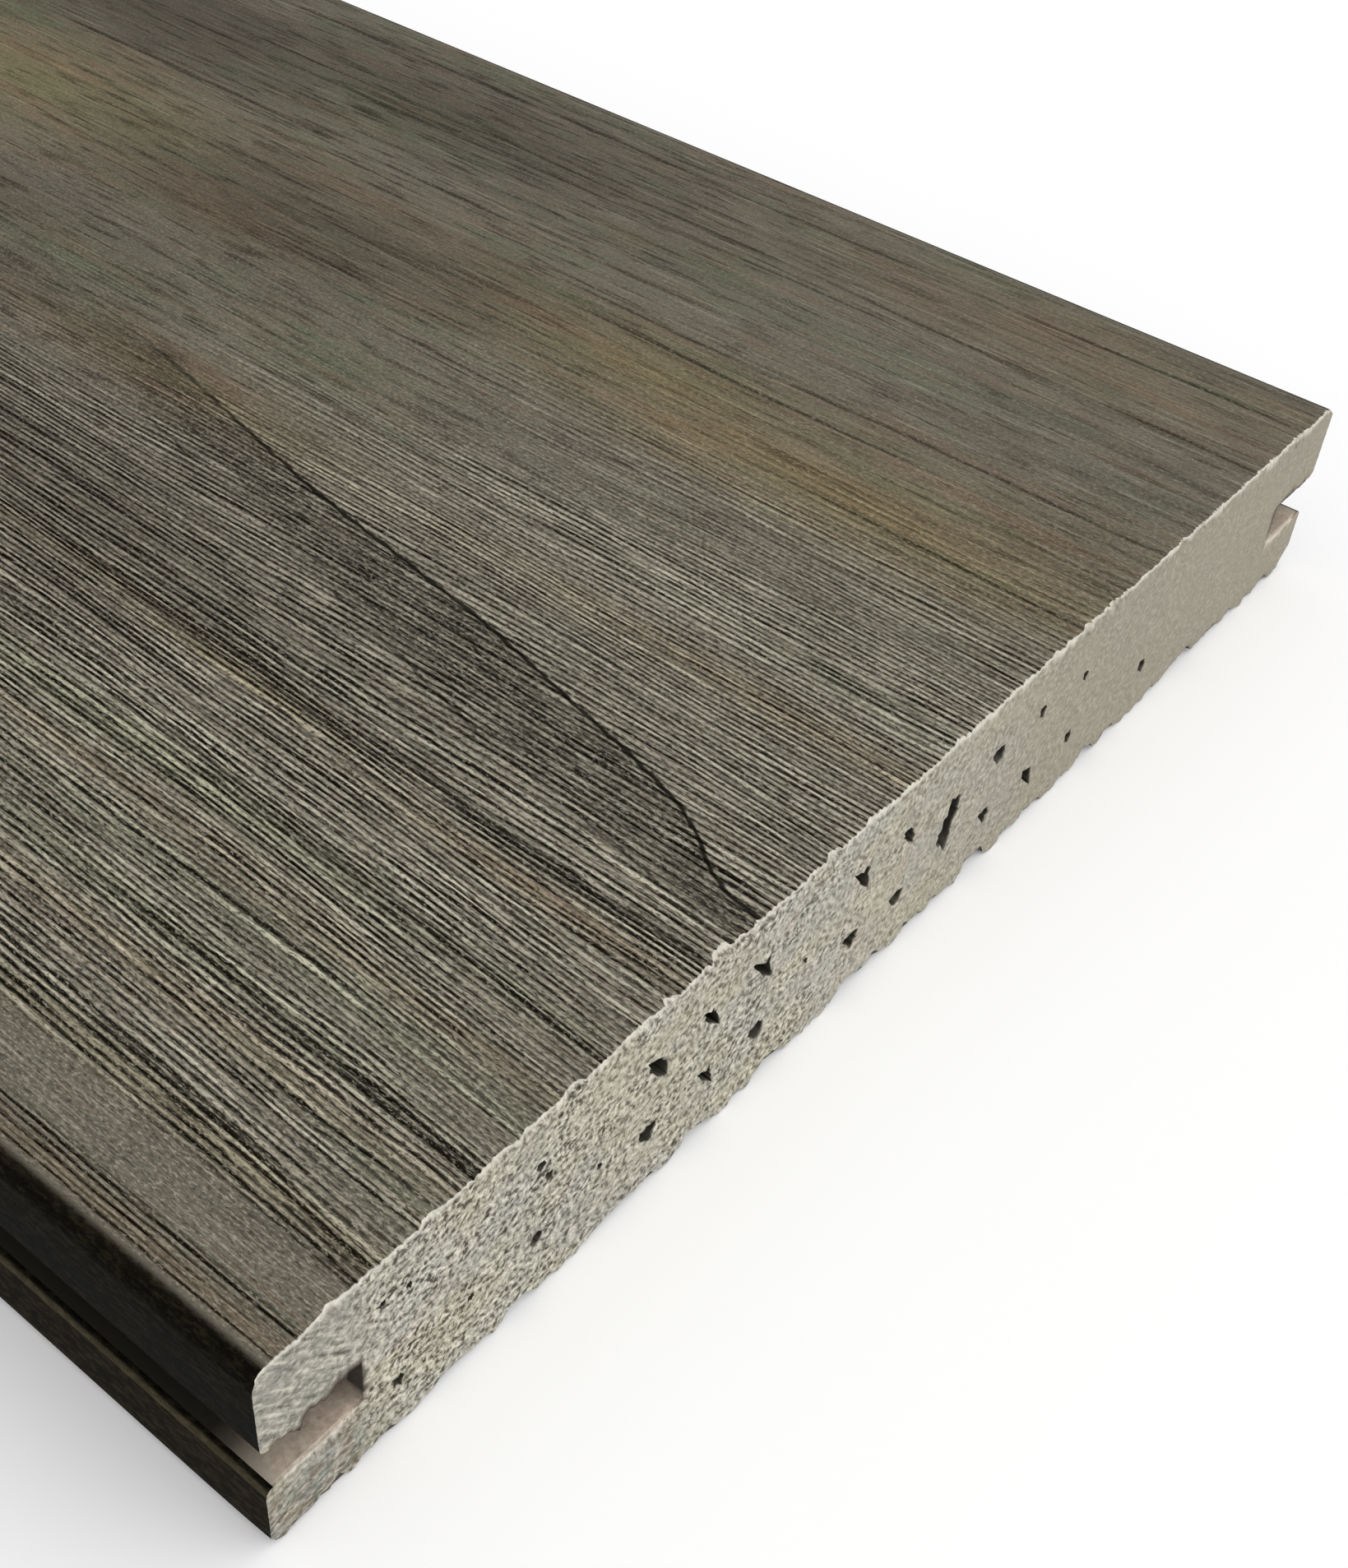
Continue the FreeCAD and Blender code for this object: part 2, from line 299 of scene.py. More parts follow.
# For the triangles of a sawn end: points closer than this are one, only the inside of an outline is
# kept, and a level edge counts as rising this much
SAME_POINT = 1e-7
KEEP_INSIDE = 1
LEVEL_RISE = 1e-9

# The three finishes by number, and the values that the mesh carries for them
CAP, CORE, UNDER = range(3)
CARRIED = ("grain", "press", "streak", "tooth", "upper_crack", "lower_crack", "arch", "turn",
           "speckle", "hollow_shade", "slot", "stain", "rim", "lip") + TINT_KINDS

SEED = 20
rng = np.random.default_rng(SEED)


# Shapes


def smooth_step(low, high, value):
    """0 below low, 1 above high and an even S between them; low may be the larger."""
    share = np.clip((value - low) / (high - low), 0, 1)
    return share * share * (3 - 2 * share)


def uneven(pitch):
    """A function of w that wanders between 0 and 1, with a turn about every pitch millimetres."""
    places = np.arange(-pitch, WIDTH + 2 * pitch, pitch)
    heights = rng.uniform(0, 1, len(places))
    return lambda w: np.interp(w, places, heights)


def arc(centre, radius, start, finish, count):
    """Points of a round stretch, angles in degrees anticlockwise from +w."""
    angles = np.radians(np.linspace(start, finish, count))
    return [(centre[0] + radius * math.cos(a), centre[1] + radius * math.sin(a)) for a in angles]


def row_places():
    """Where the mesh has a row along the board, from the end that shows to the other one."""
    places = list(END_ROWS)
    last_rows = [LENGTH - place for place in reversed(END_ROWS)]
    while True:
        done = places[-1]
        left = last_rows[0] - done
        step = min(FIRST_STEP + STEP_GROWTH * done, LONGEST_STEP, LAST_STEP + LAST_GROWTH * left)
        if left < LAST_GAP * step:
            break
        places.append(done + step)
    return -np.array(places + last_rows)


def grain_lines():
    """Where each line of the grain starts on the end that shows, unevenly spaced."""
    lines = [FIRST_LINE]
    while lines[-1] < WIDTH - FIRST_LINE:
        pitch = np.interp(lines[-1], LINE_PLACES, LINE_PITCHES)
        lines.append(lines[-1] + pitch * rng.uniform(*PITCH_SPREAD))
    return np.array(lines[:-1])


def grain_drift(x, start):
    """How far across the board a line of the grain has drifted by x."""
    lean = np.interp(start, LEAN_PLACES, LEAN_SLOPES)
    drift = lean * LEAN_REACH * (1 - np.exp(x / LEAN_REACH))
    for size, along, across, turn in SWAYS:
        drift = drift + size * np.sin(2 * np.pi * (x / along + start / across + turn))
    return drift * smooth_step(*STEADY_EDGE, np.minimum(start, WIDTH - start))


def patchy(x, w, run, pitch):
    """Wanders between 0 and 1 over the board: a turn about every run along it and every pitch across."""
    along, across = (x + LENGTH) / run, w / pitch
    row, column = np.floor(along).astype(int), np.floor(across).astype(int)
    heights = rng.uniform(0, 1, (int(LENGTH / run) + 3, int(WIDTH / pitch) + 3))
    past, aside = smooth_step(0, 1, along - row), smooth_step(0, 1, across - column)
    here = heights[row, column] * (1 - aside) + heights[row, column + 1] * aside
    beyond = heights[row + 1, column] * (1 - aside) + heights[row + 1, column + 1] * aside
    return here * (1 - past) + beyond * past


def pattern_place(x, w):
    """Where a point counts as lying across the pattern, as the smooth far half reaches nearer in places."""
    return w + np.interp(x, SMOOTH_ALONG, SMOOTH_REACH) * smooth_step(*SMOOTH_FROM, w)


def press_strength(x, lines):
    """How deeply each line is pressed at each row, as a share of the full depth."""
    count = len(lines)
    strength = rng.uniform(*PRESS_SPREAD, count)
    for run, pitch, share in BANDS:
        strength = strength * (1 - share * smooth_step(*BAND_EDGES, patchy(x, lines, run, pitch)))
    for low, high, share in PULSES:
        run = rng.uniform(low, high, count)
        turn = rng.uniform(0, 2 * np.pi, count)
        strength = strength * (1 - share * (0.5 + 0.5 * np.sin(2 * np.pi * x / run + turn)))
    whole = np.maximum(smooth_step(0, -END_REACH, x), smooth_step(*END_PLACES, lines))
    strength = strength * (END_SHARE + (1 - END_SHARE) * whole)
    return strength * np.interp(pattern_place(x, lines), PRESS_PLACES, PRESS_DEPTHS)


def all_streaks():
    """The streaks that show near the end, and others like them over the rest of the length."""
    streaks = list(STREAKS)
    for _ in range(MORE_STREAKS):
        start = rng.uniform(-LENGTH, STREAKS_BEYOND)
        place = rng.uniform(STREAK_MARGIN, WIDTH - STREAK_MARGIN)
        half_width = rng.uniform(*STREAK_WIDTHS)
        finish = start - rng.uniform(*STREAK_RUNS)
        streaks.append((place, start, finish, half_width, rng.uniform(*STREAK_DARKNESS)))
    return streaks


def streak_shade(x, start):
    """How dark the streaks make each point."""
    shade = np.zeros(np.broadcast(x, start).shape)
    fade_in, fade_out = STREAK_TAPER
    for place, first, last, half_width, darkness in all_streaks():
        taper = smooth_step(last, last + fade_out, x) * smooth_step(first, first - fade_in, x)
        across = np.exp(-((start - place) / half_width) ** 2)
        shade = np.maximum(shade, darkness * taper * across)
    return shade


def tint_patches(x, w):
    """How strong each kind of tint is at each point."""
    patches = list(TINTS)
    for number in range(MORE_TINTS):
        kind = TINT_KINDS[number % len(TINT_KINDS)]
        middle = rng.uniform(-LENGTH, TINTS_BEYOND), rng.uniform(0, WIDTH)
        size = rng.uniform(*TINT_RUNS), rng.uniform(*TINT_WIDTHS)
        patches.append((kind, *middle, *size, rng.uniform(*TINT_STRENGTHS)))
    tints = {kind: np.zeros(np.broadcast(x, w).shape) for kind in TINT_KINDS}
    for kind, middle, place, half_length, half_width, strength in patches:
        away = ((x - middle) / half_length) ** 2 + ((w - place) / half_width) ** 2
        tints[kind] = np.maximum(tints[kind], strength * np.exp(-away))
    return tints


def crack_height(points, x):
    """The crack's place across the board at x, with its corners eased."""
    along, across = zip(*points)
    shifts = np.linspace(-CRACK_ROUNDING, CRACK_ROUNDING, CRACK_SAMPLES)
    return np.mean([np.interp(x + shift, along, across) for shift in shifts], axis=0)


def growth_arches(x, w):
    """How far each point lies above the two cracks of the arch beside it, and how plain that arch is."""
    upper, lower, plain = (np.zeros(np.broadcast(x, w).shape) for _ in range(3))
    for start, shift in ARCHES:
        along = x - start
        near = (along > -ARCH_LENGTH) & (along <= 0)
        ease = smooth_step(0, -ARCH_EASE, along) if start < 0 else 1.0
        upper = np.where(near, w - shift - crack_height(UPPER_CRACK, along), upper)
        lower = np.where(near, w - shift - crack_height(LOWER_CRACK, along), lower)
        plain = np.where(near, ease * smooth_step(ARCH_FADE[1], ARCH_FADE[0], along), plain)
    return upper, lower, plain


def side_outline():
    """The outline from the far end of the top, down the far side to the underside.

    Returns points and, for each, its finish and how far the surface has turned from the top."""
    back = WIDTH - GROOVE_DEPTH
    lip = WIDTH - MOUTH_RADIUS
    rounding = arc((WIDTH - TOP_RADIUS, THICKNESS - TOP_RADIUS), TOP_RADIUS, 90, 0, TOP_POINTS)
    side = [(WIDTH, z) for z in SIDE_HEIGHTS]
    upper_mouth = arc((lip, GROOVE_CEILING + MOUTH_RADIUS), MOUTH_RADIUS, 0, -90, MOUTH_POINTS)
    ceiling = [(w, GROOVE_CEILING) for w in np.linspace(lip, back, GROOVE_POINTS)[1:]]
    wall = [(back, z) for z in np.linspace(GROOVE_CEILING, LOWER_LIP, WALL_POINTS)[1:-1]]
    floor = [(w, LOWER_LIP) for w in np.linspace(back, lip, GROOVE_POINTS)[:-1]]
    lower_mouth = arc((lip, LOWER_LIP - MOUTH_RADIUS), MOUTH_RADIUS, 90, 0, MOUTH_POINTS)
    low_side = [(WIDTH, z) for z in LOW_SIDE_HEIGHTS]
    foot = arc((WIDTH - BOTTOM_RADIUS, BOTTOM_RADIUS), BOTTOM_RADIUS, 0, -90, FOOT_POINTS)
    cap_runs = rounding + side + upper_mouth
    core_runs = ceiling + wall + floor
    low_runs = lower_mouth + low_side + foot
    points = cap_runs + core_runs + low_runs
    finishes = [CAP] * len(cap_runs) + [CORE] * len(core_runs) + [CAP] * len(low_runs)
    turns = list(np.linspace(0, 1, len(rounding))) + [1.0] * (len(points) - len(rounding))
    return points, finishes, turns


def under_outline():
    """The underside from the far side to the near one, flutes included."""
    half_chord = math.sqrt(FLUTE_RADIUS ** 2 - (FLUTE_RADIUS - FLUTE_DEPTH) ** 2)
    half_angle = math.degrees(math.asin(half_chord / FLUTE_RADIUS))
    points = []
    edge = WIDTH - BOTTOM_RADIUS
    for number in range(2 * FLUTES_EACH_SIDE):
        middle = WIDTH / 2 + (FLUTES_EACH_SIDE - 0.5 - number) * FLUTE_PITCH
        points += [(w, 0.0) for w in np.linspace(edge, middle + half_chord, LAND_POINTS)[1:-1]]
        centre = (middle, FLUTE_DEPTH - FLUTE_RADIUS)
        points += arc(centre, FLUTE_RADIUS, 90 - half_angle, 90 + half_angle, FLUTE_POINTS)
        edge = middle - half_chord
    points += [(w, 0.0) for w in np.linspace(edge, BOTTOM_RADIUS, LAND_POINTS)[1:-1]]
    return points


def near_top(z, below):
    """0 under the first and 1 over the second of two depths below the board's top."""
    return smooth_step(THICKNESS - below[0], THICKNESS - below[1], z)


def at_height(z, height):
    """Whether a point is at this height."""
    return np.abs(z - height) < SAME_HEIGHT


class TornEnd:
    """The uneven edge that the saw left round one end."""

    def __init__(self, chips):
        self.chips = chips
        self.wave = uneven(RIM_WAVE)
        self.teeth = uneven(RIM_TEETH)
        self.burr = uneven(BURR_PITCH)
        self.breaks = uneven(BREAK_PITCH)
        self.crumbs = uneven(CRUMB_PITCH)

    def cap_loss(self, w):
        """How far back the cap is torn along the top edge."""
        loss = RIM_LOSS * self.wave(w) ** 2
        for place, half_width, depth in self.chips:
            loss = loss + depth * smooth_step(half_width, CHIP_FLOOR * half_width, np.abs(w - place))
        return loss

    def crumble(self, w, z):
        """How far up the bottom of the sawn face has broken."""
        broken = BREAK_RISE * self.breaks(w) ** 2 + CRUMB_RISE * self.crumbs(w)
        return smooth_step(*BREAK_HEIGHTS, z) * broken

    def edge(self, w, z):
        """How far back, and how far up, the edge has moved at each place round the end."""
        from_side = np.minimum(w, WIDTH - w)
        top = near_top(z, TOP_RIM)
        on_ceiling = at_height(z, GROOVE_CEILING) & (from_side < GROOVE_DEPTH + SAME_HEIGHT)
        on_ledge = at_height(z, LOWER_LIP) & (from_side < LEDGE_BACK)
        hang = smooth_step(MOUTH_RADIUS, 2 * MOUTH_RADIUS, from_side)
        hang = hang * smooth_step(GROOVE_DEPTH, BURR_BACK, from_side)
        burr = np.interp(from_side, BURR_PLACES, BURR_DROPS) + BURR_LOOSE * hang * self.burr(w)
        burr = burr * np.where(w < WIDTH / 2, 1.0, FAR_BURR)
        ledge = on_ledge * hang * (LEDGE_BREAK * self.breaks(w) + LEDGE_CRUMB * self.crumbs(w))
        rise = self.crumble(w, z)
        back = top * RIM_TOOTH * self.teeth(w) + BREAK_SLANT * (rise + ledge)
        back = back + rng.uniform(0, EDGE_JITTER, w.shape)
        up = rise - on_ceiling * burr - RIM_DIP * top * self.wave(w) - LEDGE_DROP * ledge
        return back, up


def pressed_top(rows):
    """The grained top: where its points lie across, how deep they are pressed and what they carry."""
    lines = grain_lines()
    gaps = np.diff(lines)
    strength = press_strength(rows, lines)
    most_wear = rng.uniform(0, 1, len(gaps))
    wear = most_wear * (0.5 + 0.5 * np.sin(rows / WEAR_RUN + rng.uniform(0, WEAR_TURN, len(gaps))))

    # Three columns a line: its valley, the foot of the ridge beside it and that ridge's far shoulder
    numbers = np.arange(len(gaps))
    start = np.stack([lines[:-1], lines[:-1] + FOOT * gaps, lines[:-1] + SHOULDER * gaps], 1).ravel()
    grain = np.stack([numbers, numbers + FOOT, numbers + SHOULDER], 1).ravel()
    press = np.stack([strength[:, :-1], strength[:, :-1], strength[:, 1:]], 2).reshape(len(rows), -1)
    shade = streak_shade(rows, start)
    place = pattern_place(rows, start)
    press = np.clip(np.maximum(press, np.interp(place, STREAK_PLACES, STREAK_DEPTHS) * shade), 0, 1)
    depth = RIDGE_WEAR * np.repeat(wear, 3, axis=1)
    depth[:, 0::3] = VALLEY_DEPTH * press[:, 0::3] + LEAST_DEPTH
    w = start + grain_drift(rows, start)
    inner = (start > TOP_RADIUS) & (start < WIDTH - TOP_RADIUS)
    w, depth, press, shade = w[:, inner], depth[:, inner], press[:, inner], shade[:, inner]
    upper, lower, arch = growth_arches(rows, w)
    depth = np.maximum(depth, CRACK_DEPTH * arch * np.exp(-(upper / CRACK_WIDTH) ** 2))
    from_edge = np.minimum(w, WIDTH - w) - TOP_RADIUS
    depth = depth * smooth_step(0, EDGE_EASE, from_edge)
    values = {"grain": grain[inner], "press": press, "streak": shade, "upper_crack": upper,
              "lower_crack": lower, "arch": arch, **tint_patches(rows, w)}
    return w, depth, values


def board_skin(ends):
    """The long faces: rows of points round the section, with what each point carries for the finishes."""
    rows = row_places()[:, None]
    w, depth, top_values = pressed_top(rows)
    side, side_finish, side_turn = side_outline()
    under = under_outline()
    near = [(WIDTH - point[0], point[1]) for point in reversed(side)]
    rest = np.array(side + under + near)
    rest_finish = side_finish + [UNDER] * len(under) + side_finish[::-1]
    rest_turn = np.array(side_turn + [1.0] * len(under) + side_turn[::-1])

    shape = (len(rows), len(rest))
    across = np.hstack([w, np.broadcast_to(rest[:, 0], shape)])
    height = np.hstack([THICKNESS - depth, np.broadcast_to(rest[:, 1], shape)])
    along = np.broadcast_to(rows, across.shape).copy()
    finishes = np.array([CAP] * w.shape[1] + rest_finish)
    for end, from_end, facing in zip(ends, (-rows, LENGTH + rows), (1, -1)):
        torn = near_top(height, TOP_RIM) * end.cap_loss(across)
        along -= facing * torn * np.exp(-from_end / TEAR_REACH)
        behind = (from_end > 0) * np.exp(-from_end / BREAK_REACH) * (from_end < BREAK_END)
        height = height + behind * end.crumble(across, height)

    carried = {name: np.zeros(across.shape) for name in CARRIED}
    columns = w.shape[1]
    for name, value in top_values.items():
        carried[name][:, :columns] = value
    carried["turn"][:, columns:] = rest_turn
    carried["tooth"][:] = np.interp(pattern_place(rows, across), TOOTH_PLACES, TOOTH_SHARES)
    shade_groove(carried, np.minimum(-rows, LENGTH + rows), across, height, finishes)
    return along, across, height, finishes, carried


def shade_groove(carried, from_end, across, height, finishes):
    """Painted shade inside the clip grooves, apart from a pale stretch of floor next to each sawn end."""
    shaded_along = smooth_step(*GROOVE_SHADE_FROM, from_end + GROOVE_SHADE_SWAY * np.sin(across * GROOVE_SHADE_TURN))
    above_floor = smooth_step(LOWER_LIP, LOWER_LIP + SHADE_RISE, height)
    dark = np.maximum(shaded_along, SHADED_DARK * above_floor)
    carried["hollow_shade"][:] = GROOVE_SHADE_DARK * np.where(finishes == CORE, dark, shaded_along)
    carried["speckle"][:] = np.where(finishes == CORE, SLOT_SPECKLE, 0)
    carried["slot"][:] = finishes == CORE


# Sawn ends


def inside(points, outline):
    """Which points lie within a closed outline."""
    x, y = points[:, 0][:, None], points[:, 1][:, None]
    x0, y0 = outline[:, 0], outline[:, 1]
    x1, y1 = np.roll(x0, -1), np.roll(y0, -1)
    crosses = (y0 > y) != (y1 > y)
    rise = np.where(y1 == y0, LEVEL_RISE, y1 - y0)
    return (np.count_nonzero(crosses & (x < (x1 - x0) * (y - y0) / rise + x0), axis=1) % 2) == 1


def clear_of(points, borders, room):
    """Which points have at least this much room to every border point."""
    tree = KDTree(sum(len(border) for border in borders))
    for number, place in enumerate(np.vstack(borders)):
        tree.insert((place[0], place[1], 0), number)
    tree.balance()
    return np.array([tree.find((place[0], place[1], 0))[2] > room for place in points])


def void_rim(void):
    """A void's outline on the sawn face, its edges split in three and made uneven."""
    w, z, outline, size, _ = void
    here = np.array(outline) * size
    span = np.roll(here, -1, axis=0) - here
    rim = np.stack([here, here + span / 3, here + span * 2 / 3], 1).reshape(-1, 2)
    rim = rim * rng.uniform(1 - VOID_RAGGED, 1 + VOID_RAGGED, (len(rim), 1))
    return rim + np.array((w, z))


def sawn_face(outline, voids, speckle):
    """Triangles of one sawn end between its outline and the voids in it.

    Returns the new points as (w, z), the triangles, and each void's rim as point numbers."""
    rims = [void_rim(void) for void in voids]
    w, z = np.meshgrid(np.arange(0, WIDTH, FOAM_PITCH), np.arange(0, THICKNESS, FOAM_PITCH))
    spread = np.stack([w.ravel(), z.ravel()], 1)
    spread = spread + rng.uniform(-FOAM_JITTER, FOAM_JITTER, spread.shape) * FOAM_PITCH
    crowd = np.maximum(smooth_step(*CROWDED, speckle(spread[:, 0])), SMOOTH_SHARE)
    spread = spread[rng.uniform(0, 1, len(spread)) < crowd]
    spread = spread[inside(spread, outline)]
    for rim in rims:
        spread = spread[~inside(spread, rim)]
    spread = spread[clear_of(spread, [outline] + rims, FOAM_ROOM * FOAM_PITCH)]
    groups = [outline] + rims
    edges = []
    rim_numbers = []
    first = 0
    for group in groups:
        numbers = list(range(first, first + len(group)))
        edges += list(zip(numbers, numbers[1:] + numbers[:1]))
        rim_numbers.append(numbers)
        first += len(group)
    points = np.vstack(groups + [spread])
    flat = [Vector(point) for point in points]
    _, _, triangles, sources, _, _ = delaunay_2d_cdt(flat, edges, [], KEEP_INSIDE, SAME_POINT)
    source = [numbers[0] for numbers in sources]
    triangles = np.array([[source[corner] for corner in triangle] for triangle in triangles])
    middles = points[triangles].mean(axis=1)
    for rim in rims:
        hole = inside(middles, rim)
        triangles, middles = triangles[~hole], middles[~hole]
    return points[len(outline):], triangles, rim_numbers[1:]


def foam_values(w, z, speckle):
    """What the points of a sawn end carry: how speckled and how stained the foam is there."""
    upper_lip = smooth_step(*SMEARED_LIP[0], w) * smooth_step(*SMEARED_LIP[1], z)
    lower_lip = smooth_step(*DIRTY_LIP[0], w) * smooth_step(*DIRTY_LIP[1], z)
    aside, above = (w - DIRT_MIDDLE[0]) / DIRT_SIZE[0], (z - DIRT_MIDDLE[1]) / DIRT_SIZE[1]
    corner = np.exp(-aside ** 2 - above ** 2)
    return {
        "speckle": speckle(w) * (1 - SMEARED_SHARE * upper_lip),
        "lip": upper_lip,
        "stain": np.clip(DIRT_SHARES[0] * lower_lip + DIRT_SHARES[1] * corner, 0, 1),
    }


class Shell:
    """The board's points, what each carries, and the faces between them."""

    def __init__(self):
        self.points = np.zeros((0, 3))
        self.values = {name: np.zeros(0) for name in CARRIED}
        self.faces = []
        self.finishes = []

    def add_points(self, points, values):
        """Add points and return their numbers; a value that isn't given is 0."""
        first = len(self.points)
        self.points = np.vstack([self.points, points])
        for name in CARRIED:
            given = np.broadcast_to(values.get(name, 0.0), len(points))
            self.values[name] = np.concatenate([self.values[name], given])
        return np.arange(first, first + len(points))

    def add_faces(self, faces, finishes):
        self.faces += faces
        self.finishes += finishes


def board_shell():
    """The whole board as one closed mesh."""
    shell = Shell()
    ends = (TornEnd(RIM_CHIPS), TornEnd(()))
    along, across, height, finishes, carried = board_skin(ends)
    rows, columns = along.shape
    plain_across, plain_height = across.copy(), height.copy()
    for row, end, facing in ((0, ends[0], 1), (rows - 1, ends[1], -1)):
        back, up = end.edge(across[row], height[row])
        along[row] -= facing * back
        height[row] += up
        on_top = near_top(plain_height[row], WHITE_RIM)
        on_floor = at_height(plain_height[row], LOWER_LIP) & (finishes == CORE)
        carried["rim"][row] = np.maximum(on_top, WHITE_LEDGE * on_floor)
    points = np.stack([along, across, height], 2).reshape(-1, 3)
    values = {name: value.reshape(-1) for name, value in carried.items()}
    numbers = shell.add_points(points, values).reshape(rows, columns)
    right = np.roll(numbers, -1, axis=1)
    quads = np.stack([numbers[1:-2], right[1:-2], right[2:-1], numbers[2:-1]], 2).reshape(-1, 4)
    following = np.roll(finishes, -1)
    strip_finish = np.where(following == CORE, CORE, finishes)
    shell.add_faces(quads.tolist(), np.tile(strip_finish, rows - 3).tolist())

    far_voids = []
    for w, z, shape, size, depth in VOIDS:
        if size > LEAST_FAR_VOID:
            moved = z + rng.uniform(-FAR_VOID_SHIFT, FAR_VOID_SHIFT)
            far_voids.append((WIDTH - w, moved, shape, size * rng.uniform(*FAR_VOID_SIZES), depth))
    plans = ((0, 1, ends[0], VOIDS, 1), (rows - 1, rows - 2, ends[1], far_voids, -1))
    for row, inner_row, end, voids, facing in plans:
        section = np.stack([plain_across[row], plain_height[row]], 1)
        ring = close_strip(shell, section, numbers[row], numbers[inner_row], strip_finish, end, facing)
        close_end(shell, ring, voids, facing)
    return shell


def close_strip(shell, section, edge, inner, finishes, end, facing):
    """The strip of skin next to one end, whose edge has more points than a row; returns that edge."""
    ring = []
    x_end = 0.0 if facing > 0 else -LENGTH
    for column, (here, number) in enumerate(zip(section, edge)):
        after = (column + 1) % len(edge)
        following = edge[after]
        span = section[after] - here
        ragged = at_height(here[1], GROOVE_CEILING) and section[after][1] < GROOVE_CEILING + SAME_HEIGHT
        extra = int(np.linalg.norm(span) / (BURR_STEP if ragged else EDGE_PITCH))
        added = []
        if extra:
            places = here + span * (np.arange(1, extra + 1) / (extra + 1))[:, None]
            back, up = end.edge(places[:, 0], places[:, 1])
            new = np.stack([x_end - facing * back, places[:, 0], places[:, 1] + up], 1)
            halves = {name: (value[number] + value[following]) / 2 for name, value in shell.values.items()}
            added = shell.add_points(new, halves).tolist()
        ring += [number] + added
        run = [number] + added + [following]
        half = len(run) // 2
        faces = [[run[half], inner[after], inner[column]]]
        for step, pair in enumerate(zip(run, run[1:])):
            faces.append([*pair, inner[column] if step < half else inner[after]])
        if facing < 0:
            faces = [face[::-1] for face in faces]
        shell.add_faces(np.array(faces).tolist(), [int(finishes[column])] * len(faces))
    return np.array(ring)


def close_end(shell, ring, voids, facing):
    """One sawn end: its rough foam and the voids in it."""
    x_end = 0.0 if facing > 0 else -LENGTH

    def speckle(w):
        return np.interp(w if facing > 0 else WIDTH - w, SPECKLE_PLACES, SPECKLE_SHARES)

    outline = shell.points[ring][:, 1:]
    rim_values = foam_values(outline[:, 0], outline[:, 1], speckle)
    on_foam = shell.values["hollow_shade"][ring] < 0.5
    for name, value in rim_values.items():
        shell.values[name][ring] = np.where(on_foam, value, shell.values[name][ring])
    new, triangles, rims = sawn_face(outline, voids, speckle)
    rough = FOAM_ROUGHNESS * (LEAST_ROUGH + speckle(new[:, 0])) * rng.uniform(0, 1, len(new))
    face_points = np.stack([x_end - facing * rough, new[:, 0], new[:, 1]], 1)
    added = shell.add_points(face_points, foam_values(new[:, 0], new[:, 1], speckle))
    lookup = np.concatenate([ring, added])
    wound = triangles if facing > 0 else triangles[:, ::-1]
    shell.add_faces(lookup[wound].tolist(), [CORE] * len(wound))
    for rim, void in zip(rims, voids):
        sink_void(shell, lookup[rim], void[4], x_end, facing)


def sink_void(shell, rim, depth, x_end, facing):
    """The inside of one void: rings that narrow towards a closed bottom, in painted shade with lit lower
    walls.
    """
    rim_points = shell.points[rim]
    middle = rim_points.mean(axis=0)
    count = len(rim)
    circles = [rim]
    below = (middle - rim_points)[:, 2] / np.ptp(rim_points[:, 2])
    lit = VOID_LIT * smooth_step(*VOID_LIT_FROM, below) * rng.uniform(0, 1, count)
    for share, narrow, dark in VOID_RINGS:
        ring = middle + (rim_points - middle) * narrow
        ring[:, 0] = x_end - facing * (depth * share * rng.uniform(*VOID_UNEVEN, count) + FOAM_ROUGHNESS)
        circles.append(shell.add_points(ring, {"hollow_shade": dark - lit}))
    bottom = middle.copy()
    bottom[0] = x_end - facing * depth * VOID_BOTTOM
    centre = shell.add_points(bottom[None, :], {"hollow_shade": 1.0})[0]
    faces = []
    for outer, inner in zip(circles[:-1], circles[1:]):
        after = np.roll(outer, -1), np.roll(inner, -1)
        faces += np.stack([outer, after[0], after[1], inner], 1).tolist()
    last = circles[-1]
    faces += np.stack([last, np.roll(last, -1), np.full(count, centre)], 1).tolist()
    if facing < 0:
        faces = [face[::-1] for face in faces]
    shell.add_faces(faces, [CORE] * len(faces))


# Shader wiring


class Wire:
    """A shader socket that takes part in arithmetic: each operation adds a Math node beside it."""

    def __init__(self, bench, socket):
        self.bench = bench
        self.socket = socket

    def math(self, operation, *values):
        return self.bench.node("ShaderNodeMath", {"operation": operation}, dict(enumerate(values)))

    def __add__(self, other):
        return self.math("ADD", self, other)

    def __sub__(self, other):
        return self.math("SUBTRACT", self, other)

    def __rsub__(self, other):
        return self.math("SUBTRACT", other, self)

    def __mul__(self, other):
        return self.math("MULTIPLY", self, other)

    def __abs__(self):
        return self.math("ABSOLUTE", self)

    __radd__ = __add__
    __rmul__ = __mul__

    def fraction(self):
        return self.math("FRACT", self)

    def whole(self):
        return self.math("FLOOR", self)

    def larger(self, other):
        return self.math("MAXIMUM", self, other)

    def step(self, low, high):
        """0 at low, 1 at high, smooth between; low may be the larger."""
        sockets = {"Value": self, "From Min": low, "From Max": high}
        return self.bench.node("ShaderNodeMapRange", {"interpolation_type": "SMOOTHSTEP"}, sockets)


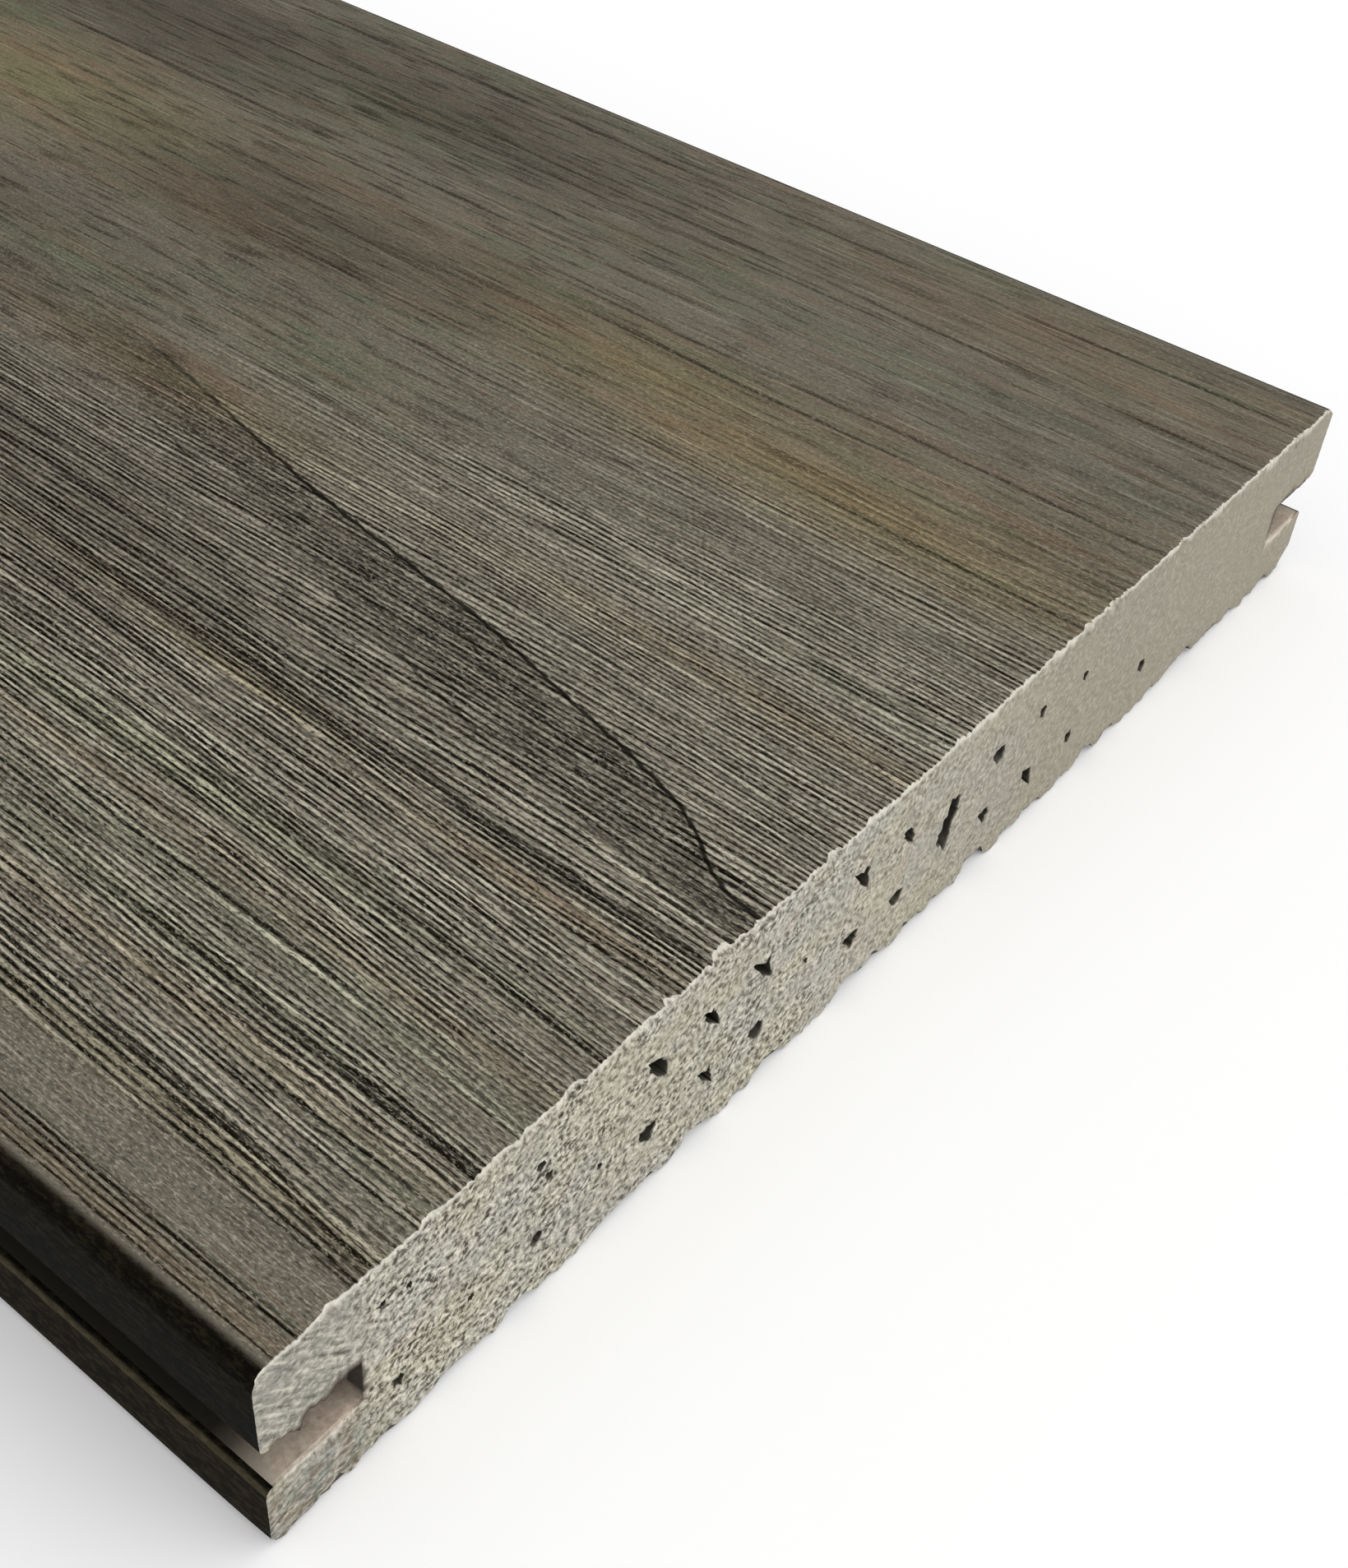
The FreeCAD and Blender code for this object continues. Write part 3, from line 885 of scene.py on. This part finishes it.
class Bench:
    """A node tree to which nodes are added one at a time."""

    def __init__(self, tree):
        self.tree = tree
        self.tree.nodes.clear()

    def node(self, kind, settings=None, sockets=None, output=0):
        """Add a node: first its settings, then the values or links of its sockets."""
        made = self.tree.nodes.new(kind)
        for name, value in (settings or {}).items():
            setattr(made, name, value)
        for name, value in (sockets or {}).items():
            if isinstance(value, Wire):
                self.tree.links.new(value.socket, made.inputs[name])
            else:
                made.inputs[name].default_value = value
        return Wire(self, made.outputs[output]) if made.outputs else None

    def seen(self):
        """1 for rays from the camera, a reflection or a clear body, and 0 for rays that only give light."""
        camera, glossy, clear = (self.node("ShaderNodeLightPath", output=f"Is {kind} Ray")
                                 for kind in ("Camera", "Glossy", "Transmission"))
        return camera.larger(glossy).larger(clear)


class Finish(Bench):
    """One material and the nodes that make it."""

    def __init__(self, name):
        self.material = bpy.data.materials.new(name)
        self.material.use_nodes = True
        super().__init__(self.material.node_tree)

    def places(self):
        """x, y and z of the surface on the board, in millimetres."""
        place = self.node("ShaderNodeTexCoord", output="Object")
        split = [self.node("ShaderNodeSeparateXYZ", sockets={0: place}, output=axis) for axis in range(3)]
        return [axis * (1 / MM) for axis in split]

    def carried(self, name):
        """A value that the mesh carries at its points."""
        return self.node("ShaderNodeAttribute", {"attribute_name": name}, output="Fac")

    def noise(self, x, y, z, detail=2.0, roughness=0.5):
        """Cloudy noise from 0 to 1, with features about 1 across in the given places."""
        place = self.node("ShaderNodeCombineXYZ", sockets={0: x, 1: y, 2: z})
        sockets = {"Vector": place, "Scale": 1.0, "Detail": detail, "Roughness": roughness}
        return self.node("ShaderNodeTexNoise", {"noise_dimensions": "3D"}, sockets)

    def cells(self, x, y, z):
        """The distance to the nearest of many points, about 1 apart in the given places."""
        place = self.node("ShaderNodeCombineXYZ", sockets={0: x, 1: y, 2: z})
        return self.node("ShaderNodeTexVoronoi", {}, {"Vector": place, "Scale": 1.0})

    def blend(self, share, first, second, manner="MIX"):
        """A mix of two colours; in the manner MULTIPLY the second is a thin tint over the first."""
        settings = {"data_type": "RGBA", "blend_type": manner}
        return self.node("ShaderNodeMix", settings, {0: share, 6: first, 7: second}, 2)

    def coats(self, colour, *layers):
        """Colours laid over a first one, each given after its own share."""
        for share, coat in layers:
            colour = self.blend(share, colour, coat)
        return colour

    def bump(self, height, depth):
        """A normal bent by a height from 0 to 1 that is depth millimetres tall."""
        return self.node("ShaderNodeBump", {}, {"Height": height, "Distance": depth * MM})

    def surface(self, sockets):
        """Close the finish with one Principled shader."""
        shader = self.node("ShaderNodeBsdfPrincipled", {}, sockets)
        self.node("ShaderNodeOutputMaterial", {}, {"Surface": shader})
        return self.material


def ink(red, green, blue):
    """A colour as a painter's 0 to 255 values, turned into Blender's linear ones."""
    def linear(part):
        part /= 255
        return part / 12.92 if part <= 0.04045 else ((part + 0.055) / 1.055) ** 2.4
    return (linear(red), linear(green), linear(blue), 1.0)


# Finishes

CAP_GREY = ink(108, 103, 91)
CAP_GREEN = ink(95, 102, 82)
CAP_BROWN = ink(116, 98, 83)
CAP_WASHES = {
    "olive": (1.17, 1.08, 0.82, 1.0),
    "brown": (1.04, 0.9, 0.79, 1.0),
    "green": (0.86, 0.98, 0.82, 1.0),
    # The darkening wash: painted shade near the end that shows, darker tone at random over the rest
    "dusk": (0.5, 0.48, 0.48, 1.0),
}
CAP_SHADE = ink(74, 70, 61)
# Pale threads in the ridges, and the painted highlight on one edge of each ridge
RIDGE_PALE_AND_HIGHLIGHT = ink(212, 206, 184)
VALLEY_DARK = ink(16, 13, 7)
STREAK_DARK = ink(24, 21, 12)
WEDGE_DARK = ink(58, 54, 45)
SMUDGE_BROWN = ink(58, 50, 39)
SPECK_LIGHT = ink(190, 185, 168)
SPECK_DARK = ink(30, 28, 22)
TORN_WHITE = ink(222, 218, 205)
# The sides' near black: partly the cap's own dark colour, partly painted shade
SIDE_BLACK_AND_SHADE = ink(5, 4, 2)
SIDE_SCUFF = ink(40, 36, 24)
SIDE_COOL = ink(8, 11, 11)
LIP_BROWN = ink(46, 39, 26)
# A painted highlight along the lower lip's top edge under the groove
LIP_EDGE_HIGHLIGHT = ink(88, 82, 64)


# Where the cap's look changes, in millimetres on the board: across it, along it and up its side
LOOSE_GRAIN = (-15.0, -50.0)
NEAR_EDGE = (-90.0, -72.0)
MOTTLED_FROM = (1170.0, 1110.0)
MOTTLED_TO = (1015.0, 1060.0)
COOL_HEIGHT = 17.6
COOL_HALF = (2.4, 0.6)
# Where the painted highlight runs along the lower lip's top edge, and its half widths
LIP_HIGHLIGHT_HEIGHT = 8.55
LIP_HIGHLIGHT_HALF = (0.4, 0.12)


class GrainedCap(Finish):
    """The weathered-grey cap: pressed grain on top, near black down the sides, partly its own colour and
    partly painted shade.
    """

    def __init__(self):
        super().__init__("grained_cap")
        self.x, self.y, self.z = self.places()
        self.grain = self.carried("grain")
        self.press = self.carried("press")
        self.tooth = self.carried("tooth")
        self.arch = self.carried("arch")
        self.fibre = self.noise(self.x * 0.3, self.y * 4.5, self.z * 4.5, 3.0, 0.6)
        self.stipple = self.noise(self.x * 1.6, self.y * 5.0, self.z * 5.0, 2.0, 0.7)
        self.inland = self.y.step(*NEAR_EDGE)
        self.shallow = self.tooth.step(1.0, 0.6)

    def pressed_lines(self):
        """Lines that wander a little about the pressed ones: a dark valley and a painted highlight on the
        edge beside it.

        Returns how far each place is from its ridge's middle, the valleys and the painted highlights."""
        x, grain, press, fibre, stipple = self.x, self.grain, self.press, self.fibre, self.stipple
        wander = self.noise(x * 0.11, grain * 0.45, 0.0) - 0.5
        loose = self.y.step(*LOOSE_GRAIN)
        track = grain + wander * (0.55 + loose * 0.4) + (fibre - 0.5) * (0.4 + loose * 0.25)
        along_ridge = track.fraction()
        ridge = track.whole()
        off_ridge = abs(along_ridge - 0.5) * 2
        girth = self.noise(x * 0.03, ridge * 3.1, 8.0) - 0.5
        luck = self.noise(x * 0.04, ridge * 3.7, 0.0).step(0.36, 0.64)
        dash = self.noise(x * 0.1, ridge * 5.3, 20.0).step(0.3, 0.56)
        ragged = off_ridge + (stipple - 0.5) * 0.45 + (fibre - 0.5) * 0.3 + girth * (0.45 + loose * 0.35)
        valley = ragged.step(0.55, 0.84) * press.step(0.06, 0.7) * (0.62 + dash * 0.38 + loose * 0.08)
        lit = abs(along_ridge - 0.38 + (stipple - 0.5) * 0.25).step(0.28, 0.06)
        highlight_breaks = self.noise(x * 0.22, ridge * 4.1, 40.0).step(0.34, 0.58)
        ridge_highlight = lit * press.step(0.1, 0.75) * (0.4 + luck * 0.6) * (0.5 + highlight_breaks * 0.5)
        ridge_highlight = ridge_highlight * (0.45 + stipple.step(0.36, 0.6) * 0.6)
        ridge_highlight = ridge_highlight * (0.2 + self.inland * 0.8) * (0.97 + loose * 0.22)
        return off_ridge, valley, ridge_highlight

    def tinted_grey(self):
        """The cap's grey, with broad tints along the grain and fine threads within each ridge."""
        x, y, grain, shallow = self.x, self.y, self.grain, self.shallow
        drift = self.noise(x * 0.011, grain * 0.17, 3.0, 3.0)
        narrow = self.noise(x * 0.02, grain * 0.9, 7.0)
        tone = self.noise(x * 0.016, grain * 0.4, 11.0, 3.0)
        rust = self.noise(x * 0.04, y * 0.24, 51.0, 3.0).step(0.5, 0.66)
        moss = self.noise(x * 0.045, y * 0.2, 57.0, 3.0).step(0.52, 0.68)
        thread = self.noise(x * 0.07, grain * 3.4, 30.0, 2.0, 0.6)
        threaded = 0.35 + self.tooth * 0.65
        return self.coats(
            CAP_GREY,
            (drift.step(0.5, 0.75) * 0.5, CAP_GREEN),
            (narrow.step(0.52, 0.75) * 0.5, CAP_BROWN),
            (tone.step(0.5, 0.28) * 0.45, CAP_SHADE),
            (rust * shallow * 0.4, CAP_BROWN),
            (moss * shallow * 0.45, CAP_GREEN),
            (thread.step(0.54, 0.74) * threaded * 0.3, RIDGE_PALE_AND_HIGHLIGHT),
            (thread.step(0.46, 0.28) * threaded * 0.5, SPECK_DARK),
        )

    def growth_ring(self):
        """How dark the fibres are under a growth-ring crack, and the cracks themselves."""
        x, y = self.x, self.y
        jag = (self.noise(x * 0.35, y * 0.35, 0.0, 2.0) - 0.5) * 0.7 + (self.stipple - 0.5) * 0.25
        upper = self.carried("upper_crack") + jag
        lower = self.carried("lower_crack") + jag * 2
        mottle = self.noise(x * 0.12, y * 0.9, 2.0, 3.0, 0.65).step(0.4, 0.62)
        wedge = upper.step(0.2, -0.4) * lower.step(-1.5, 3.0) * self.arch * (0.35 + mottle * 0.65)
        faint = self.noise(x * 0.09, y * 0.09, 5.0).step(0.48, 0.6)
        crack = abs(upper).step(0.36, 0.14).larger(abs(lower).step(0.26, 0.1) * faint * 0.8) * self.arch
        return wedge, crack

    def streaked(self, colour, off_ridge):
        """Dark streaks, soaked in between the ridges first."""
        streak = self.carried("streak")
        broken = self.noise(self.x * 0.045, self.grain * 0.8, 13.0, 3.0, 0.6).step(0.36, 0.56)
        soak = streak * (off_ridge * 0.8 + broken * 0.4) + (self.fibre - 0.5) * streak * 0.8
        return self.blend(soak.step(0.1, 0.62) * (self.tooth * 0.5 + broken * 0.47), colour, STREAK_DARK)

    def stippled(self, colour):
        """Dashes and smudges where the grain is shallow, and the fine stipple of the moulded skin."""
        x, y, stipple, shallow = self.x, self.y, self.stipple, self.shallow
        further = x.step(*MOTTLED_FROM) * x.step(*MOTTLED_TO)
        fleck = self.noise(x * 0.1, y * 1.4, 17.0, 2.0).step(0.56, 0.67) * shallow
        smudge = self.noise(x * 0.06, y * 0.65, 23.0, 3.0, 0.6).step(0.53, 0.66) * shallow
        grit = self.tooth * (0.72 + self.inland * 0.28)
        return self.coats(
            colour,
            (fleck * (0.45 + further * 0.2), SPECK_DARK),
            (smudge * (0.36 + further * 0.24), SMUDGE_BROWN),
            (stipple.step(0.52, 0.7) * grit * 0.66, SPECK_LIGHT),
            (stipple.step(0.48, 0.3) * grit * 0.8, SPECK_DARK),
        )

    def dark_shaded_side(self):
        """The sides, near black partly in painted shade, with faint lengthwise scuffs, a cooler band, a
        paler lip under the groove and a painted highlight along its top edge.
        """
        x, y, z, stipple = self.x, self.y, self.z, self.stipple
        scuff = self.noise(x * 0.02, y * 1.2, z * 1.6, 3.0)
        grip = self.noise(x * 0.8, y * 2.2, z * 2.2, 3.0, 0.7).step(0.45, 0.66)
        cool = abs(z - COOL_HEIGHT).step(*COOL_HALF)
        lip = z.step(LOWER_LIP, LOWER_LIP - MOUTH_RADIUS)
        lip_highlight = abs(z - LIP_HIGHLIGHT_HEIGHT).step(*LIP_HIGHLIGHT_HALF)
        return self.coats(
            SIDE_BLACK_AND_SHADE,
            (scuff.step(0.4, 0.75) * 0.3 + grip * 0.6, SIDE_SCUFF),
            (stipple.step(0.47, 0.3) * 0.6, SIDE_BLACK_AND_SHADE),
            (stipple.step(0.56, 0.72) * 0.4, SIDE_SCUFF),
            (cool * (0.7 - grip * 0.45), SIDE_COOL),
            (lip * (0.1 + grip * 0.85), LIP_BROWN),
            # Painted highlight along the lower lip's top edge
            (lip_highlight * (0.5 + grip * 0.3), LIP_EDGE_HIGHLIGHT),
        )

    def finished(self):
        """The finish, its coats laid one over the other."""
        stipple = self.stipple
        off_ridge, valley, ridge_highlight = self.pressed_lines()
        wedge, crack = self.growth_ring()
        splinters = self.noise(self.x * 0.24, self.y * 3.2, 6.0, 3.0, 0.6).step(0.5, 0.6)
        torn = self.carried("rim").step(0.4, 0.95) * (0.2 + stipple * 0.9)
        turned = (self.carried("turn") + (stipple - 0.5) * 0.3).step(0.0, 0.28)
        colour = self.coats(
            self.tinted_grey(),
            (wedge * 0.75, WEDGE_DARK),
            # A painted highlight on one edge of each ridge
            (ridge_highlight * (0.97 - wedge * 0.6), RIDGE_PALE_AND_HIGHLIGHT),
            (valley, VALLEY_DARK),
            (wedge * splinters * 0.9, VALLEY_DARK),
        )
        colour = self.stippled(self.streaked(colour, off_ridge))
        for kind, tint in CAP_WASHES.items():
            colour = self.blend(self.carried(kind), colour, tint, "MULTIPLY")
        colour = self.coats(
            colour,
            (crack * 0.95, VALLEY_DARK),
            (torn, TORN_WHITE),
            # The sides: partly their own near-black colour, partly painted shade where they turn away from
            # the light
            (turned, self.dark_shaded_side()),
        )
        height = self.fibre * 0.4 + stipple * 0.5 * self.tooth - crack * 0.9
        return self.surface({
            "Base Color": colour,
            "Roughness": 0.7 + stipple * 0.18 - ridge_highlight * 0.06,
            "Specular IOR Level": 0.04,
            "Normal": self.bump(height, 0.1),
        })


FOAM_YELLOW = ink(182, 177, 158)
FOAM_GREY = ink(176, 174, 164)
FOAM_PINK = ink(184, 172, 156)
FOAM_SMOOTH = ink(154, 147, 132)
LIP_GREY = ink(156, 155, 146)
SLOT_PINK = ink(186, 168, 152)
PORE = ink(72, 67, 54)
PORE_DEEP = ink(50, 46, 36)
GRAIN_LIGHT = ink(228, 223, 206)
STAIN_BROWN = ink(104, 84, 66)
STAIN_GREEN = ink(94, 104, 94)
# Near black painted as shade in the voids and along the clip grooves
HOLLOW_SHADE_BLACK = ink(16, 14, 8)


def foam_core():
    """The pale foamed core where it was sawn or milled: granular, with dark pores."""
    core = Finish("foam_core")
    x, y, z = core.places()
    speckle = core.carried("speckle")

    # Clouds of colour, and the upper lip's end, smeared by the saw
    cloud = core.noise(y * 0.09, z * 0.13, x * 0.02, 3.0)
    warm = core.noise(y * 0.17, z * 0.21, x * 0.02 + 40.0, 2.0)
    drag = core.noise((y - z) * 0.22, (y + z) * 1.3, x * 2.0 + 5.0, 3.0, 0.6)
    smooth_lip = core.carried("lip")
    base = core.coats(
        FOAM_YELLOW,
        (cloud.step(0.35, 0.65), FOAM_GREY),
        (warm.step(0.5, 0.75) * 0.6, FOAM_PINK),
        (speckle.step(0.7, 0.1) * 0.9, FOAM_SMOOTH),
        (smooth_lip * 0.8, LIP_GREY),
        (smooth_lip * drag.step(0.5, 0.7) * 0.6, GRAIN_LIGHT),
        (smooth_lip * drag.step(0.48, 0.3) * 0.75, PORE),
        (core.carried("slot") * (0.4 + warm * 0.7), SLOT_PINK),
    )

    # Pores and bright grains between them
    grit = core.noise(y * 1.65, z * 1.65, x * 1.65, 2.0, 0.6)
    fine = core.noise(y * 4.4, z * 4.4, x * 4.4, 1.0)
    dots = core.cells(y * 1.15, z * 1.15, x * 1.15)
    pick = core.noise(y * 0.6, z * 0.6, x * 0.6 + 9.0)
    pore = dots.step(0.4, 0.2) * pick.step(0.38, 0.58)
    dark = grit.step(0.5, 0.37) * 0.95 + fine.step(0.45, 0.28) * 0.45
    calm = core.noise(y * 0.2, z * 0.26, x * 0.2 + 60.0, 2.0).step(0.62, 0.4)
    open_foam = speckle * (0.68 + calm * 0.32)

    # Smeared dirt on the lower lip and the torn white edge of the cap
    smear = core.noise(y * 0.5, z * 1.8, x * 0.05, 3.0)
    hue = core.noise(y * 0.4, z * 0.5, x * 0.05 + 3.0)
    dirt = core.blend(hue.step(0.42, 0.6), STAIN_BROWN, STAIN_GREEN)
    colour = core.coats(
        base,
        (dark * open_foam, PORE),
        (pore * open_foam * 0.9, PORE_DEEP),
        (grit.step(0.53, 0.64) * open_foam * 0.92, GRAIN_LIGHT),
        (core.carried("stain") * smear.step(0.32, 0.66) * 0.85, dirt),
        (core.carried("rim").step(0.3, 0.9) * (0.35 + grit * 0.95), TORN_WHITE),
        # Painted shade: near black deep in the voids and along the clip grooves
        (core.carried("hollow_shade"), HOLLOW_SHADE_BLACK),
    )

    height = grit * 0.6 + fine * 0.3 - pore * 0.7
    return core.surface({
        "Base Color": colour,
        "Roughness": 0.85,
        "Specular IOR Level": 0.15,
        "Normal": core.bump(height * speckle + drag * smooth_lip * 0.5, 0.2),
    })


UNDER_DARK = ink(46, 42, 35)
UNDER_PALE = ink(70, 65, 55)
UNDER_DUST = ink(82, 78, 68)


def plain_underside():
    """The underside: the same dark cap, smooth from the die, with faint drawn lines."""
    under = Finish("plain_underside")
    x, y, z = under.places()
    drawn = under.noise(x * 0.004, y * 1.7, z * 0.5, 3.0)
    cloud = under.noise(x * 0.01, y * 0.06, 4.0, 2.0)
    colour = under.blend(drawn.step(0.35, 0.7), UNDER_DARK, UNDER_PALE)
    colour = under.blend(cloud.step(0.45, 0.7) * 0.4, colour, UNDER_DUST)
    return under.surface({
        "Base Color": colour,
        "Roughness": 0.55 + drawn * 0.2,
        "Specular IOR Level": 0.3,
        "Normal": under.bump(drawn, 0.06),
    })


# Edges sharper than this many degrees stay sharp
SHARP_ANGLE = 50.0


def in_scene(name, data):
    """A new object, put into the scene."""
    made = bpy.data.objects.new(name, data)
    bpy.context.scene.collection.objects.link(made)
    return made


def make_board():
    """Put the mesh and its finishes together as the piece that stands for the board."""
    shell = board_shell()
    shift = np.array((board_high.x / MM, board_low.y / MM, board_low.z / MM))
    mesh = bpy.data.meshes.new("grained_board")
    mesh.from_pydata(((shell.points + shift) * MM).tolist(), [], shell.faces)
    for finish in (GrainedCap().finished(), foam_core(), plain_underside()):
        mesh.materials.append(finish)
    mesh.polygons.foreach_set("material_index", np.array(shell.finishes, dtype=np.int32))
    mesh.polygons.foreach_set("use_smooth", np.ones(len(shell.faces), dtype=bool))
    mesh.set_sharp_from_angle(angle=math.radians(SHARP_ANGLE))
    for name, value in shell.values.items():
        layer = mesh.attributes.new(name, "FLOAT", "POINT")
        layer.data.foreach_set("value", value.astype(np.float32))
    mesh.update()
    board = in_scene("grained_board", mesh)
    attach(board, "root")
    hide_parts("deck_board")


# Studio

WHITE = (1.0, 1.0, 1.0, 1.0)
FLOOR_SIZE = 12.0
FLOOR_PALE = 0.9
FLOOR_ROUGHNESS = 0.9
FLOOR_LIFT = 0.12
SKY_LEVEL = 0.6
KEY_LEVEL = 1.55
KEY_FROM = (0.7, 0.3, 1.0)
KEY_SOFTNESS = 80.0

# Camera, in metres: it looks down on the cut end from just beyond the near corner
CAMERA_PLACE = (1.282304, -0.137113, 0.152793)
CAMERA_AIM = (1.201673, -0.021964, 0.025)
CAMERA_ROLL = 5.424
FOCAL_PIXELS = 2397.35
IMAGE_LONG_SIDE = 1907
SENSOR = 36.0
NEAREST_SEEN = 0.01


def make_floor():
    """A white floor that takes the board's shadow."""
    half = FLOOR_SIZE / 2
    corners = [(-half, -half, 0), (half, -half, 0), (half, half, 0), (-half, half, 0)]
    mesh = bpy.data.meshes.new("studio_floor")
    mesh.from_pydata(corners, [], [(0, 1, 2, 3)])
    paint = Finish("floor_paint")
    mesh.materials.append(paint.surface({
        "Base Color": (FLOOR_PALE, FLOOR_PALE, FLOOR_PALE, 1.0),
        "Roughness": FLOOR_ROUGHNESS,
        "Specular IOR Level": 0.0,
        "Emission Color": paint.seen(),
        "Emission Strength": FLOOR_LIFT,
    }))
    in_scene("studio_floor", mesh)


def make_light():
    """A white surround and one very soft key light from the end of the board that shows."""
    world = bpy.data.worlds.new("studio")
    world.use_nodes = True
    surround = Bench(world.node_tree)
    level = SKY_LEVEL + surround.seen() * (1 - SKY_LEVEL)
    background = surround.node("ShaderNodeBackground", {}, {"Color": WHITE, "Strength": level})
    surround.node("ShaderNodeOutputWorld", {}, {"Surface": background})
    bpy.context.scene.world = world
    lamp = bpy.data.lights.new("key_light", "SUN")
    lamp.energy = KEY_LEVEL
    lamp.angle = math.radians(KEY_SOFTNESS)
    key = in_scene("key_light", lamp)
    key.rotation_mode = "QUATERNION"
    key.rotation_quaternion = Vector(KEY_FROM).to_track_quat("Z", "Y")


def make_camera():
    """The camera at the photograph's viewing angle."""
    lens = bpy.data.cameras.new("camera")
    lens.sensor_width = SENSOR
    lens.lens = SENSOR * FOCAL_PIXELS / IMAGE_LONG_SIDE
    lens.clip_start = NEAREST_SEEN
    camera = in_scene("camera", lens)
    place = Vector(CAMERA_PLACE)
    camera.location = place
    camera.rotation_mode = "QUATERNION"
    roll = Quaternion((0, 0, 1), math.radians(CAMERA_ROLL))
    camera.rotation_quaternion = (Vector(CAMERA_AIM) - place).to_track_quat("-Z", "Y") @ roll
    bpy.context.scene.camera = camera


make_board()
make_floor()
make_light()
make_camera()
bpy.context.scene.view_settings.view_transform = "Standard"
